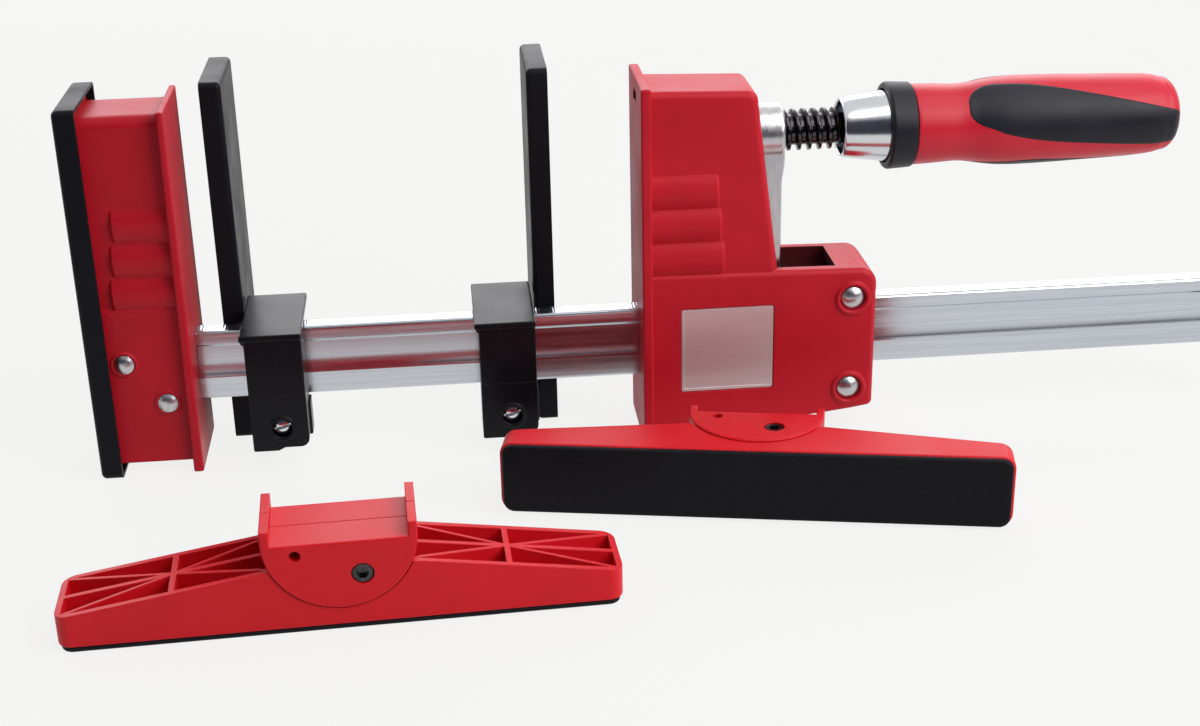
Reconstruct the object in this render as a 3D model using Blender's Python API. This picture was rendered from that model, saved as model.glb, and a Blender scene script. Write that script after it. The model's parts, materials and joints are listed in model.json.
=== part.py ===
import bpy
import bmesh
from math import asin, cos, degrees, pi, radians, sin, tan
from mathutils import Matrix, Vector

# Lengths are in metres. While the parts are made, X runs along the rail from
# the fixed jaw's clamping face, Y = 0 is the middle of the rail, Z = 0 the floor.

# Clearances
fit_gap = 0.0003
bore_gap = 0.0003
cut_margin = 0.01
merge_distance = 0.000002

# Rail
rail_length = 0.467
rail_height = 0.029
rail_thickness = 0.009
rail_underside = 0.025
rail_end_gap = 0.0017
rail_top_chamfer = 0.0015
rail_foot_chamfer = 0.0011
rail_groove_depth = 0.0005
rail_groove_run = 0.0009
rail_groove_foot_share = 0.27
rail_groove_top_share = 0.81

# End clip of the rail
clip_length = 0.014
clip_wall = 0.0023
clip_corner = 0.0012

# Both jaws
jaw_height = 0.149
jaw_face_width = 0.0424
jaw_face_thickness = 0.004
jaw_face_corner = 0.0012
jaw_body_width = 0.0344
upper_body_inset = 0.001
body_edge_radius = 0.0012
grip_count = 3
grip_spacing = 0.0139
grip_height = 0.0134
grip_rise = 0.002
grip_steps = 5
rivet_radius = 0.0026
ring_edge_share = 0.8
dome_steps = 2

# Fixed jaw
fixed_foot = 0.0005
fixed_face_taper = 0.0014
fixed_jaw_depth = 0.0383
fixed_back_thickness = 0.0036
fixed_body_foot = 0.0045
fixed_body_drop = 0.003
fixed_step_rise = 0.0158
fixed_top_radius = 0.003
fixed_grip_top_rise = 0.0561
fixed_grip_length = 0.0209
fixed_grip_lean = 0.0016
fixed_core_width = 0.020
fixed_core_foot = 0.008
fixed_core_drop = 0.011
fixed_core_front_wall = 0.0035
fixed_core_back_wall = 0.0042
fixed_upper_rivet_back = 0.0266
fixed_upper_rivet_rise = 0.0221
fixed_lower_rivet_back = 0.0114
fixed_lower_rivet_rise = 0.0048
fixed_rivet_head_radius = 0.004
fixed_rivet_head_rise = 0.0015
fixed_ring_radius = 0.00525
fixed_ring_rise = 0.0006

# Jaw covers
cover_spare = 0.002
cover_thickness = 0.0085
cover_wall = 0.0014
cover_fit = 0.0004
cover_floor = 0.0016
cover_corner = 0.0016
left_cover_place = 0.0099
right_cover_place = 0.1363
loose_cover_offset = 0.010

# Movable jaw
jaw_opening = 0.178
jaw_length = 0.0953
upper_front_drop = 0.0025
upper_rear_drop = 0.004
upper_rear_top = 0.0458
upper_rear_foot = 0.0549
upper_rear_radius = 0.004
block_front_rise = 0.0187
block_rear_rise = 0.0168
block_foot_front = 0.002
block_foot_rear = 0.0106
block_corner_radius = 0.007
block_foot_radius = 0.0025
block_edge_radius = 0.0026
block_roof_length = 0.0163
movable_grip_top_rise = 0.0589
movable_grip_length = 0.0288
movable_grip_lean = 0.0012
cavity_half_width = 0.012
cavity_front_wall = 0.004
cavity_wall = 0.0038
cavity_top_wall = 0.0045
movable_core_wall = 0.0022
movable_core_front_wall = 0.003
movable_core_inset = 0.0036
movable_core_waist_drop = 0.0046
upper_pin_inset = 0.0098
upper_pin_rise = 0.0047
lower_pin_inset = 0.0105
lower_pin_drop = 0.0055
guide_pin_head_radius = 0.00475
guide_pin_head_rise = 0.0019
guide_ring_radius = 0.00725
guide_ring_rise = 0.0011
guide_ring_edge = 0.0007
guide_well_spare = 0.00045
guide_well_depth = 0.0006
label_start = 0.0156
label_foot = 0.0214
label_width = 0.0379
label_height = 0.0362
label_recess = 0.001
label_thickness = 0.0005
label_corner = 0.0012

# Slide arm
arm_half_width = 0.008
arm_rear_gap = 0.0025
arm_thickness = 0.0109
arm_underhang = 0.0075
arm_heel_depth = 0.0075
arm_heel_rise = 0.006
arm_heel_slope = 0.022
arm_edge = 0.0008
boss_wall = 0.00245
boss_rise = 0.001

# Spindle
spindle_drop = 0.0241
thread_radius = 0.00825
thread_depth = 0.0022
thread_pitch = 0.0041
thread_turn_steps = 12
thread_flank_steps = 2
thread_crest_steps = 4
thread_lead = 0.0105
spindle_reach = 0.0239
spindle_core_inset = 0.00015
spindle_neck_radius = 0.005
spindle_tang_length = 0.041
thrust_plate_thickness = 0.010
thrust_plate_height = 0.022
thrust_socket_depth = 0.007
thrust_washer_thickness = 0.0028
thrust_washer_radius = 0.0085

# Ferrule and handle
ferrule_length = 0.0217
ferrule_front_radius = 0.0119
ferrule_rear_radius = 0.0145
ferrule_lip = 0.0014
ferrule_recess = 0.0085
collar_overlap = 0.004
collar_length = 0.0104
collar_radius = 0.0173
collar_rear_radius = 0.0168
handle_length = 0.109
handle_radius = 0.0176
handle_spigot_radius = 0.008
handle_profile_shares = (
    (0.0, 0.909), (0.071, 0.895), (0.12, 0.878), (0.159, 0.866), (0.208, 0.885),
    (0.266, 0.943), (0.325, 0.986), (0.389, 1.0), (0.511, 0.99), (0.628, 0.966),
    (0.746, 0.943), (0.868, 0.909), (0.902, 0.884), (0.931, 0.835), (0.958, 0.75),
    (0.976, 0.64), (0.99, 0.49), (0.998, 0.30), (1.0, 0.0))
handle_sides = 24
inlay_depth = 0.0015
inlay_rise = 0.00015
# Along the handle as a share, middle and half width in degrees
inlay_shares = (
    (0.185, 36.0, 6.0), (0.193, 37.0, 17.0), (0.213, 38.5, 27.0),
    (0.252, 39.0, 35.0), (0.325, 33.5, 39.5), (0.433, 26.5, 41.3),
    (0.55, 18.5, 39.6), (0.677, 10.0, 36.6), (0.804, 1.5, 33.5),
    (0.888, -4.0, 31.5), (0.931, -6.5, 30.5), (0.958, -8.0, 30.0),
    (0.976, -9.0, 29.0))
foot_inlay_shares = (
    (0.20, -90.0, 6.0), (0.208, -90.0, 14.0), (0.23, -90.0, 22.0), (0.27, -90.0, 30.0),
    (0.34, -90.0, 38.0), (0.433, -90.0, 42.0), (0.55, -90.0, 37.0), (0.67, -90.0, 27.5),
    (0.79, -90.0, 19.0), (0.88, -90.0, 14.0), (0.931, -90.0, 11.5), (0.958, -90.0, 10.0),
    (0.976, -90.0, 9.0))
inlay_steps = 6

# Rail saddles
left_saddle_place = 0.019
right_saddle_place = 0.1109
saddle_length = 0.0242
saddle_half_width = 0.0232
saddle_rise = 0.0044
saddle_plate = 0.0026
saddle_overhang = 0.0016
saddle_front = 0.0222
saddle_drop = 0.0155
saddle_tab_drop = 0.0013
saddle_tab_length = 0.010
saddle_corner = 0.0035
saddle_edge = 0.0005
saddle_leg_step = 0.0002
saddle_ledge_rise = 0.007
saddle_ledge_depth = 0.0004
saddle_back_thickness = 0.0062
saddle_back_inset = 0.003
saddle_back_length = 0.016
saddle_back_drop = 0.0135
saddle_screw_along = 0.012
saddle_screw_drop = 0.0072
saddle_hole_depth = 0.0053
saddle_head_radius = 0.0036
saddle_head_length = 0.0034
saddle_head_sink = 0.0014
saddle_head_room = 0.0004
saddle_screw_radius = 0.0025
saddle_slot_width = 0.0011
saddle_slot_depth = 0.0016
saddle_slot_turn = 75.0
nut_thickness = 0.0032
nut_half_width = 0.004

# Tilting adapters
adapter_length = 0.1912
adapter_width = 0.0285
adapter_end_height = 0.0135
adapter_mid_height = 0.024
adapter_mid_length = 0.054
adapter_pad_thickness = 0.0019
adapter_pad_inset = 0.001
adapter_pad_side_inset = 0.0004
adapter_corner = 0.005
adapter_wall = 0.0022
adapter_rib = 0.002
adapter_diagonal_rib = 0.0014
adapter_floor = 0.0028
adapter_rib_from_end = 0.039
adapter_pocket_start = 0.0235
hub_radius = 0.0261
hub_width = 0.030
hub_height = 0.0352
hub_floor_drop = 0.0012
hub_ear_rise = 0.0043
hub_ear_thickness = 0.0031
hub_seat_gap = 0.0004
hub_edge = 0.0006
tongue_half_width = 0.003
tongue_inner_radius = 0.012
tongue_half_angle = 58.0
hub_swing = 15.0
hub_swing_spare = 1.5
hub_hole_radius = 0.002
hub_hole_along = 0.015
hub_hole_drop = 0.0053
hub_screw_reach = 0.0153
hub_screw_angle = 27.2
hub_screw_radius = 0.0018
hub_screw_head_radius = 0.0036
hub_screw_head_length = 0.003
hub_screw_socket_radius = 0.0021
hub_screw_socket_depth = 0.0018
left_adapter_along = 0.0602
left_adapter_before = 0.1345
left_adapter_turn = 2.43
right_adapter_along = 0.2104
right_adapter_before = 0.0920
right_adapter_turn = -11.68

# Values that follow from the ones above
rail_tail = fixed_jaw_depth - fixed_back_thickness - rail_end_gap
rail_top = rail_underside + rail_height
rail_half = rail_thickness / 2
slot_half = rail_half + fit_gap
slot_foot = rail_underside - fit_gap
slot_top = rail_top + fit_gap
body_half = jaw_body_width / 2
upper_half = body_half - upper_body_inset
face_half = jaw_face_width / 2
pin_bore = rivet_radius + bore_gap
fixed_rivets = (
    ('fixed_jaw_rivet_upper', -fixed_upper_rivet_back, rail_underside + fixed_upper_rivet_rise),
    ('fixed_jaw_rivet_lower', -fixed_lower_rivet_back, rail_underside + fixed_lower_rivet_rise))
cover_half = face_half + cover_fit + cover_wall
cover_height = jaw_height + cover_spare
jaw_rear = jaw_opening + jaw_length
block_top_front = rail_top + block_front_rise
block_top_rear = rail_top + block_rear_rise
guide_pins = (
    ('upper', jaw_rear - upper_pin_inset, rail_top + upper_pin_rise),
    ('lower', jaw_rear - lower_pin_inset, rail_underside - lower_pin_drop))
movable_core_half = cavity_half_width - fit_gap
arm_rear = jaw_opening + upper_rear_foot + arm_rear_gap
arm_front = arm_rear - arm_thickness
boss_radius = thread_radius + bore_gap + boss_wall
spindle_height = jaw_height - spindle_drop
thread_front = arm_front - thread_lead
ferrule_front = arm_rear + spindle_reach
ferrule_rear = ferrule_front + ferrule_length
thread_turns = int((ferrule_front - thread_front) / thread_pitch)
thread_rear = thread_front + thread_pitch * thread_turns
thread_root = thread_radius - thread_depth
tang_end = ferrule_front + spindle_tang_length
spindle_core_radius = thread_root - spindle_core_inset
tang_bore = spindle_core_radius + bore_gap
collar_front = ferrule_rear - collar_overlap
collar_rear = collar_front + collar_length
handle_front = collar_rear + fit_gap

made = []


def prism(outline, low, high, axis):
    # Solid made by running a closed outline along one axis
    lift = {
        'X': lambda a, b, h: (h, a, b),
        'Y': lambda a, b, h: (a, h, b),
        'Z': lambda a, b, h: (a, b, h)}[axis]
    solid = bmesh.new()
    first = [solid.verts.new(lift(a, b, low)) for a, b in outline]
    last = [solid.verts.new(lift(a, b, high)) for a, b in outline]
    solid.faces.new(first)
    solid.faces.new(last)
    count = len(outline)
    for i in range(count):
        j = (i + 1) % count
        solid.faces.new((first[i], first[j], last[j], last[i]))
    bmesh.ops.recalc_face_normals(solid, faces=solid.faces)
    return solid


def box(x, y, z):
    # Block between the limits given as (low, high) on each axis
    return prism([(x[0], y[0]), (x[1], y[0]), (x[1], y[1]), (x[0], y[1])], z[0], z[1], 'Z')


def rounded(outline, radii, steps=4):
    # Outline with an arc in place of each corner that has a radius
    done = []
    count = len(outline)
    for i, corner in enumerate(outline):
        radius = radii[i] if isinstance(radii, (list, tuple)) else radii
        here = Vector(corner)
        back = (Vector(outline[i - 1]) - here).normalized()
        ahead = (Vector(outline[(i + 1) % count]) - here).normalized()
        half = back.angle(ahead) / 2
        if radius == 0:
            done.append(tuple(here))
            continue
        centre = here + (back + ahead).normalized() * (radius / sin(half))
        reach = radius / tan(half)
        start = here + back * reach - centre
        end = here + ahead * reach - centre
        turn = start.angle(end)
        if start.x * end.y - start.y * end.x < 0:
            turn = -turn
        for k in range(steps + 1):
            angle = turn * k / steps
            done.append((
                centre.x + start.x * cos(angle) - start.y * sin(angle),
                centre.y + start.x * sin(angle) + start.y * cos(angle)))
    return done


def circle(centre, radius, sides):
    return [(
        centre[0] + radius * cos(2 * pi * k / sides),
        centre[1] + radius * sin(2 * pi * k / sides)) for k in range(sides)]


def arc(centre, radius, start, end, steps):
    # Points on an arc, angles in degrees
    angles = [radians(start + (end - start) * k / steps) for k in range(steps + 1)]
    return [(centre[0] + radius * cos(a), centre[1] + radius * sin(a)) for a in angles]


def turned(profile, sides, closed=False):
    # Solid of revolution about X from (along, radius) pairs
    solid = bmesh.new()
    rings = []
    for along, radius in profile:
        if radius == 0:
            rings.append([solid.verts.new((along, 0, 0))])
        else:
            rings.append([
                solid.verts.new((along, radius * cos(2 * pi * k / sides), radius * sin(2 * pi * k / sides)))
                for k in range(sides)])
    pairs = list(zip(rings, rings[1:]))
    if closed:
        pairs.append((rings[-1], rings[0]))
    for near, far in pairs:
        for k in range(sides):
            n = (k + 1) % sides
            if len(near) == 1 and len(far) == 1:
                continue
            if len(near) == 1:
                solid.faces.new((near[0], far[k], far[n]))
            elif len(far) == 1:
                solid.faces.new((near[k], near[n], far[0]))
            else:
                solid.faces.new((near[k], near[n], far[n], far[k]))
    bmesh.ops.recalc_face_normals(solid, faces=solid.faces)
    return solid


def moved(solid, x=0.0, y=0.0, z=0.0):
    solid.transform(Matrix.Translation((x, y, z)))
    return solid


def aimed(solid, axis):
    # Turns a solid made along X so that it runs along another axis
    if axis == 'Y':
        solid.transform(Matrix.Rotation(pi / 2, 4, 'Z'))
    if axis == 'Z':
        solid.transform(Matrix.Rotation(-pi / 2, 4, 'Y'))
    return solid


def softened(solid, width, steps, wanted=None):
    # Rounds the sharp edges, or those of them whose middle is wanted
    edges = []
    for edge in solid.edges:
        if edge.calc_face_angle(0.0) < radians(40):
            continue
        middle = (edge.verts[0].co + edge.verts[1].co) / 2
        if wanted is None or wanted(middle):
            edges.append(edge)
    bmesh.ops.bevel(
        solid, geom=edges, offset=width, segments=steps, profile=0.5,
        affect='EDGES', clamp_overlap=True)
    return solid


def stand(solid, name):
    mesh = bpy.data.meshes.new(name)
    solid.to_mesh(mesh)
    solid.free()
    item = bpy.data.objects.new(name, mesh)
    bpy.context.scene.collection.objects.link(item)
    return item


def tidied(solid):
    # Merges points left closer together than the merge distance
    bmesh.ops.remove_doubles(solid, verts=solid.verts, dist=merge_distance)
    bmesh.ops.dissolve_degenerate(solid, dist=merge_distance, edges=solid.edges)


def combined(solid, tools, operation):
    # The solid joined with the tools or cut by them
    item = stand(solid, 'work')
    helpers = []
    for tool in tools:
        helper = stand(tool, 'tool')
        helper.hide_render = True
        helper.display_type = 'WIRE'
        helpers.append(helper)
        step = item.modifiers.new('step', 'BOOLEAN')
        step.operation = operation
        step.solver = 'EXACT'
        step.object = helper
    graph = bpy.context.evaluated_depsgraph_get()
    result = bmesh.new()
    result.from_mesh(item.evaluated_get(graph).to_mesh())
    for used in [item] + helpers:
        mesh = used.data
        bpy.data.objects.remove(used)
        bpy.data.meshes.remove(mesh)
    tidied(result)
    return result


def joined(solid, tools):
    return combined(solid, tools, 'UNION')


def cut(solid, tools):
    return combined(solid, tools, 'DIFFERENCE')


def material(name, colour, metallic, roughness):
    made_of = bpy.data.materials.new(name)
    made_of.use_nodes = True
    shader = made_of.node_tree.nodes['Principled BSDF']
    shader.inputs['Base Color'].default_value = (*colour, 1.0)
    shader.inputs['Metallic'].default_value = metallic
    shader.inputs['Roughness'].default_value = roughness
    return made_of


red_plastic = ((0.62, 0.02, 0.03), 0.0, 0.42)
black_plastic = ((0.02, 0.02, 0.022), 0.0, 0.5)
black_rubber = ((0.03, 0.03, 0.034), 0.0, 0.65)
zinc_steel = ((0.70, 0.71, 0.72), 1.0, 0.3)
dark_steel = ((0.06, 0.06, 0.065), 1.0, 0.35)
chrome_steel = ((0.80, 0.81, 0.82), 1.0, 0.12)
plain_steel = ((0.55, 0.56, 0.58), 1.0, 0.4)
bare_aluminium = ((0.72, 0.73, 0.74), 1.0, 0.32)


def piece(name, solid, look, origin=(0, 0, 0), angle=35.0):
    # Adds a finished sub-part with its origin where asked
    solid.transform(Matrix.Translation(-Vector(origin)))
    item = stand(solid, name)
    item.location = origin
    item.data.shade_smooth()
    item.data.set_sharp_from_angle(angle=radians(angle))
    item.data.materials.append(material(name, *look))
    made.append(item)
    return item


def rail_outline():
    groove_foot = rail_underside + rail_height * rail_groove_foot_share
    groove_top = rail_underside + rail_height * rail_groove_top_share
    floor = rail_half - rail_groove_depth
    side = [
        (rail_half - rail_foot_chamfer, rail_underside),
        (rail_half, rail_underside + rail_foot_chamfer),
        (rail_half, groove_foot),
        (floor, groove_foot + rail_groove_run),
        (floor, groove_top - rail_groove_run),
        (rail_half, groove_top),
        (rail_half, rail_top - rail_top_chamfer),
        (rail_half - rail_top_chamfer, rail_top)]
    return side + [(-y, z) for y, z in reversed(side)]


def rail_slot(low, high):
    return box((low, high), (-slot_half, slot_half), (slot_foot, slot_top))


def make_rail():
    shape = prism(rail_outline(), -rail_tail, rail_length - rail_tail, 'X')
    holes = [cross_hole(pin_bore, x, z) for name, x, z in fixed_rivets]
    piece('rail', cut(shape, holes), zinc_steel)

    end = rail_length - rail_tail
    half = rail_half + fit_gap + clip_wall
    cap = box(
        (end - clip_length, end + fit_gap + clip_wall), (-half, half),
        (slot_foot - clip_wall, slot_top + clip_wall))
    softened(cap, clip_corner, 2)
    hollow = rail_slot(end - clip_length - cut_margin, end + fit_gap)
    piece('rail_end_clip', cut(cap, [hollow]), black_plastic)


def turned_rod(low, high, radius, sides):
    return turned([(low, 0), (low, radius), (high, radius), (high, 0)], sides)


def cross_hole(radius, x, z):
    # Cutter for a round hole along Y through a whole jaw
    return moved(aimed(turned_rod(-face_half, face_half, radius, 16), 'Y'), x=x, z=z)


def side_rings(radius, rise, edge, x, z):
    # Raised ring blanks on both side faces of a jaw body
    rings = []
    for side in (-1, 1):
        rim = side * (body_half + rise)
        shoulder = side * (body_half + rise - edge * ring_edge_share)
        inner = side * (body_half - rise)
        ring = turned([(inner, 0), (inner, radius), (shoulder, radius), (rim, radius - edge), (rim, 0)], 24)
        rings.append(moved(aimed(ring, 'Y'), x=x, z=z))
    return rings


def rivet(head_radius, head_rise, radius, seat):
    # Shank along Y with a domed head at each end, seated that far from the middle
    crown = (head_radius ** 2 + head_rise ** 2) / (2 * head_rise)
    sweep = asin(head_radius / crown)
    dome = [(
        seat + head_rise - crown + crown * cos(sweep * (dome_steps - k) / dome_steps),
        crown * sin(sweep * (dome_steps - k) / dome_steps)) for k in range(dome_steps + 1)]
    profile = [(0, radius), (seat, radius)] + dome
    left = [(-along, r) for along, r in reversed(profile[1:])]
    full = left + profile[1:]
    full[0] = (full[0][0], 0)
    full[-1] = (full[-1][0], 0)
    return aimed(turned(full, 16), 'Y')


def grips(top_rise, start, length, lean):
    # Ribs with a rounded section on both sides of a jaw, each lower one longer by the lean
    radius = ((grip_height / 2) ** 2 + grip_rise ** 2) / (2 * grip_rise)
    sweep = asin(grip_height / 2 / radius)
    away = -1 if length < 0 else 1
    ribs = []
    for side in (-1, 1):
        for row in range(grip_count):
            middle = rail_top + top_rise - grip_height / 2 - grip_spacing * row
            outline = []
            for k in range(grip_steps + 1):
                angle = sweep * (2 * k / grip_steps - 1)
                rise = radius * cos(angle) - radius + grip_rise
                outline.append((side * (upper_half + rise), middle + radius * sin(angle)))
            outline.append((side * (upper_half - grip_rise), middle + grip_height / 2))
            outline.append((side * (upper_half - grip_rise), middle - grip_height / 2))
            end = start + length + away * lean * row
            ribs.append(prism(outline, min(start, end), max(start, end), 'X'))
    return ribs


def make_fixed_jaw():
    body_front = -jaw_face_thickness / 2
    body_back = fixed_back_thickness / 2 - fixed_jaw_depth
    body_top = jaw_height - fixed_body_drop
    body = box((body_back, body_front), (-upper_half, upper_half), (fixed_body_foot, body_top))
    softened(body, fixed_top_radius, 3, lambda p: (
        p.z > body_top - body_edge_radius and abs(p.y) > slot_half))
    step = rail_top + fixed_step_rise
    lower = box((body_back, body_front), (-body_half, body_half), (fixed_body_foot, step))
    softened(lower, upper_body_inset, 2, lambda p: abs(p.y) > upper_half and p.z > step - upper_body_inset)
    taper = fixed_face_taper - jaw_face_thickness
    face = prism(
        [(-jaw_face_thickness, fixed_foot), (0, fixed_foot), (0, jaw_height - fixed_foot),
         (taper, jaw_height - fixed_foot)],
        -face_half, face_half, 'Y')
    softened(face, jaw_face_corner, 2, lambda p: p.x < taper / 2 - jaw_face_thickness / 4)
    back_foot = cover_wall + cover_fit
    back = box(
        (-fixed_jaw_depth, fixed_back_thickness - fixed_jaw_depth), (-face_half, face_half),
        (back_foot, cover_height - back_foot))
    rings = []
    wells = []
    for name, x, z in fixed_rivets:
        rings += side_rings(fixed_ring_radius, fixed_ring_rise, fixed_ring_rise, x, z)
        wells.append(cross_hole(pin_bore, x, z))
    ribs = grips(
        fixed_grip_top_rise, -jaw_face_thickness / 2,
        -fixed_grip_length - jaw_face_thickness / 2, fixed_grip_lean)
    shape = joined(body, [lower, face, back] + rings + ribs)
    core_back = fixed_jaw_depth - fixed_back_thickness - fixed_core_back_wall
    core_front = jaw_face_thickness + fixed_core_front_wall
    core_half = fixed_core_width / 2
    core_top = jaw_height - fixed_core_drop
    cavity = box(
        (-core_back - fit_gap, fit_gap - core_front), (-core_half - fit_gap, core_half + fit_gap),
        (-cut_margin, core_top + fit_gap))
    slot = rail_slot(-rail_tail - fit_gap, cut_margin)
    piece('fixed_jaw_housing', cut(shape, [cavity, slot] + wells), red_plastic)

    core = box((-core_back, -core_front), (-core_half, core_half), (fixed_core_foot, core_top))
    core_holes = [cross_hole(pin_bore, x, z) for name, x, z in fixed_rivets]
    core = cut(core, [rail_slot(-rail_tail - cut_margin, cut_margin)] + core_holes)
    piece('fixed_jaw_core', core, plain_steel)

    seat = body_half + fixed_ring_rise + fit_gap
    for name, x, z in fixed_rivets:
        shape = rivet(fixed_rivet_head_radius, fixed_rivet_head_rise, rivet_radius, seat)
        piece(name, moved(shape, x=x, z=z), plain_steel)


def cover_tray():
    # Shallow tray: outer face at X = 0, open side at +X, foot at Z = 0
    shape = box((0, cover_thickness), (-cover_half, cover_half), (0, cover_height))
    softened(shape, cover_corner, 2, lambda p: p.x < cover_thickness - cover_corner)
    inside = cover_half - cover_wall
    hollow = box(
        (cover_floor, cover_thickness + cut_margin), (-inside, inside),
        (cover_wall, cover_height - cover_wall))
    return cut(shape, [hollow])


def make_covers():
    back_face = -fixed_jaw_depth - fit_gap - cover_floor
    piece('fixed_jaw_back_cover', moved(cover_tray(), x=back_face), black_plastic)
    across = loose_cover_offset + cover_half
    left = cover_tray()
    left.transform(Matrix.Rotation(pi, 4, 'Z'))
    moved(left, x=left_cover_place + cover_thickness, y=across)
    piece('loose_cover_left', left, black_plastic)
    piece('loose_cover_right', moved(cover_tray(), x=right_cover_place, y=across), black_plastic)


def jaw_profile():
    # Side outline of the movable jaw's upper body
    front = jaw_opening + jaw_face_thickness / 2
    top = jaw_opening + upper_rear_top
    foot = jaw_opening + upper_rear_foot
    return rounded(
        [(front, block_foot_rear), (foot, block_foot_rear), (foot, block_top_front),
         (top, jaw_height - upper_rear_drop), (front, jaw_height - upper_front_drop)],
        [0, 0, 0, upper_rear_radius, 0], 5)


def block_profile():
    front = jaw_opening + jaw_face_thickness / 2
    return rounded(
        [(front, block_foot_front), (jaw_rear, block_foot_rear),
         (jaw_rear, block_top_rear), (front, block_top_front)],
        [0, block_foot_radius, block_corner_radius, 0], 5)


def cavity_profile(margin):
    # Inside of the jaw seen from the side; margin shrinks it
    front = jaw_opening + jaw_face_thickness + cavity_front_wall + margin
    rear = jaw_rear - cavity_wall - margin
    roof = block_top_rear - cavity_wall - margin
    ceiling = jaw_height - upper_rear_drop - cavity_top_wall - margin
    return [
        (front, block_foot_front + cavity_wall + margin),
        (rear, block_foot_rear + cavity_wall + margin),
        (rear, roof),
        (jaw_rear - block_roof_length, roof),
        (jaw_rear - block_roof_length, ceiling),
        (front, ceiling)]


def make_movable_jaw():
    back_of_face = jaw_opening + jaw_face_thickness
    upper = prism(jaw_profile(), -upper_half, upper_half, 'Y')
    softened(upper, body_edge_radius, 2, lambda p: (
        abs(p.y) > cavity_half_width and p.z > block_top_front and p.x > back_of_face))
    block = prism(block_profile(), -body_half, body_half, 'Y')
    softened(block, block_edge_radius, 3, lambda p: (
        abs(p.y) > upper_half and (p.z > block_top_rear - block_corner_radius
                                   or p.x > jaw_rear - block_foot_radius)))
    face = box((jaw_opening, back_of_face), (-face_half, face_half), (0, jaw_height))
    softened(face, jaw_face_corner, 2, lambda p: p.x > jaw_opening + jaw_face_thickness / 2)
    rings = []
    wells = []
    floor = body_half - guide_well_depth
    for name, x, z in guide_pins:
        rings += side_rings(guide_ring_radius, guide_ring_rise, guide_ring_edge, x, z)
        for low, high in ((-face_half, -floor), (floor, face_half)):
            well = turned_rod(low, high, guide_pin_head_radius + guide_well_spare, 20)
            wells.append(moved(aimed(well, 'Y'), x=x, z=z))
        wells.append(cross_hole(pin_bore, x, z))
    ribs = grips(
        movable_grip_top_rise, jaw_opening + jaw_face_thickness / 2,
        movable_grip_length, movable_grip_lean)
    shape = joined(upper, [block, face] + rings + ribs)
    cavity = prism(cavity_profile(0.0), -cavity_half_width, cavity_half_width, 'Y')
    slot = rail_slot(jaw_opening - cut_margin, jaw_rear + cut_margin)
    window = prism(label_outline(0.0), -body_half - cut_margin, label_recess - body_half, 'Y')
    piece('movable_jaw_housing', cut(shape, [cavity, slot, window] + wells), red_plastic)

    plate_back = label_recess - body_half - fit_gap
    plate = prism(label_outline(fit_gap), plate_back - label_thickness, plate_back, 'Y')
    piece('label_plate', plate, bare_aluminium)

    full = cavity_profile(fit_gap)
    front, foot = full[0]
    rear, roof = full[2]
    ceiling = full[-1][1]
    waist = roof - movable_core_waist_drop
    outline = [
        (front, foot), full[1], (rear, waist),
        (jaw_opening + upper_rear_foot - movable_core_inset, waist),
        (jaw_opening + upper_rear_top - movable_core_inset, ceiling), (front, ceiling)]
    core = prism(outline, -movable_core_half, movable_core_half, 'Y')
    inner = movable_core_half - movable_core_wall
    room = box(
        (front + movable_core_front_wall, jaw_rear + cut_margin), (-inner, inner),
        (-cut_margin, jaw_height + cut_margin))
    core_holes = [cross_hole(pin_bore, x, z) for name, x, z in guide_pins]
    core = cut(core, [room, rail_slot(jaw_opening, jaw_rear)] + core_holes)
    piece('movable_jaw_core', core, plain_steel)

    seat = floor + fit_gap
    half = inner - fit_gap
    for name, x, z in guide_pins:
        shape = rivet(guide_pin_head_radius, guide_pin_head_rise, rivet_radius, seat)
        piece('guide_pin_' + name, moved(shape, x=x, z=z), plain_steel)
        reach = min(abs(z - rail_top), abs(z - rail_underside)) - fit_gap
        profile = [(-half, pin_bore), (-half, reach), (half, reach), (half, pin_bore)]
        sleeve = turned(profile, 24, closed=True)
        piece('guide_roller_' + name, moved(aimed(sleeve, 'Y'), x=x, z=z), plain_steel)


def label_outline(margin):
    low = jaw_opening + label_start + margin
    high = low + label_width - margin * 2
    foot = label_foot + margin
    top = foot + label_height - margin * 2
    return rounded([(low, foot), (high, foot), (high, top), (low, top)], label_corner - margin, 3)


def make_arm():
    heel = arm_front - arm_heel_depth
    foot = rail_underside - arm_underhang
    heel_top = rail_top + arm_heel_rise
    top = spindle_height + boss_radius / 2
    shape = prism(
        [(heel, foot), (arm_rear, foot), (arm_rear, top), (arm_front, top),
         (arm_front, heel_top + arm_heel_slope), (heel, heel_top)],
        -arm_half_width, arm_half_width, 'Y')
    softened(shape, arm_edge, 2, lambda p: abs(p.y) > arm_half_width - arm_edge)
    boss_front = arm_front - boss_rise
    boss_rear = arm_rear + boss_rise
    boss = moved(turned([
        (boss_front, 0), (boss_front, boss_radius), (boss_rear - arm_edge, boss_radius),
        (boss_rear, boss_radius - arm_edge), (boss_rear, 0)], 32), z=spindle_height)
    shape = joined(shape, [boss])
    bore = moved(
        turned_rod(heel - cut_margin, arm_rear + cut_margin, thread_radius + bore_gap, 28),
        z=spindle_height)
    slot = rail_slot(heel - cut_margin, arm_rear + cut_margin)
    piece('slide_arm', cut(shape, [bore, slot]), zinc_steel)


def thread_height(place):
    # Share of the thread's depth at a place counted in steps of one pitch
    rise = thread_flank_steps
    flat = thread_crest_steps
    place = place % thread_turn_steps
    if place < rise:
        return place / rise
    if place < rise + flat:
        return 1.0
    if place < 2 * rise + flat:
        return 1.0 - (place - rise - flat) / rise
    return 0.0


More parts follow.
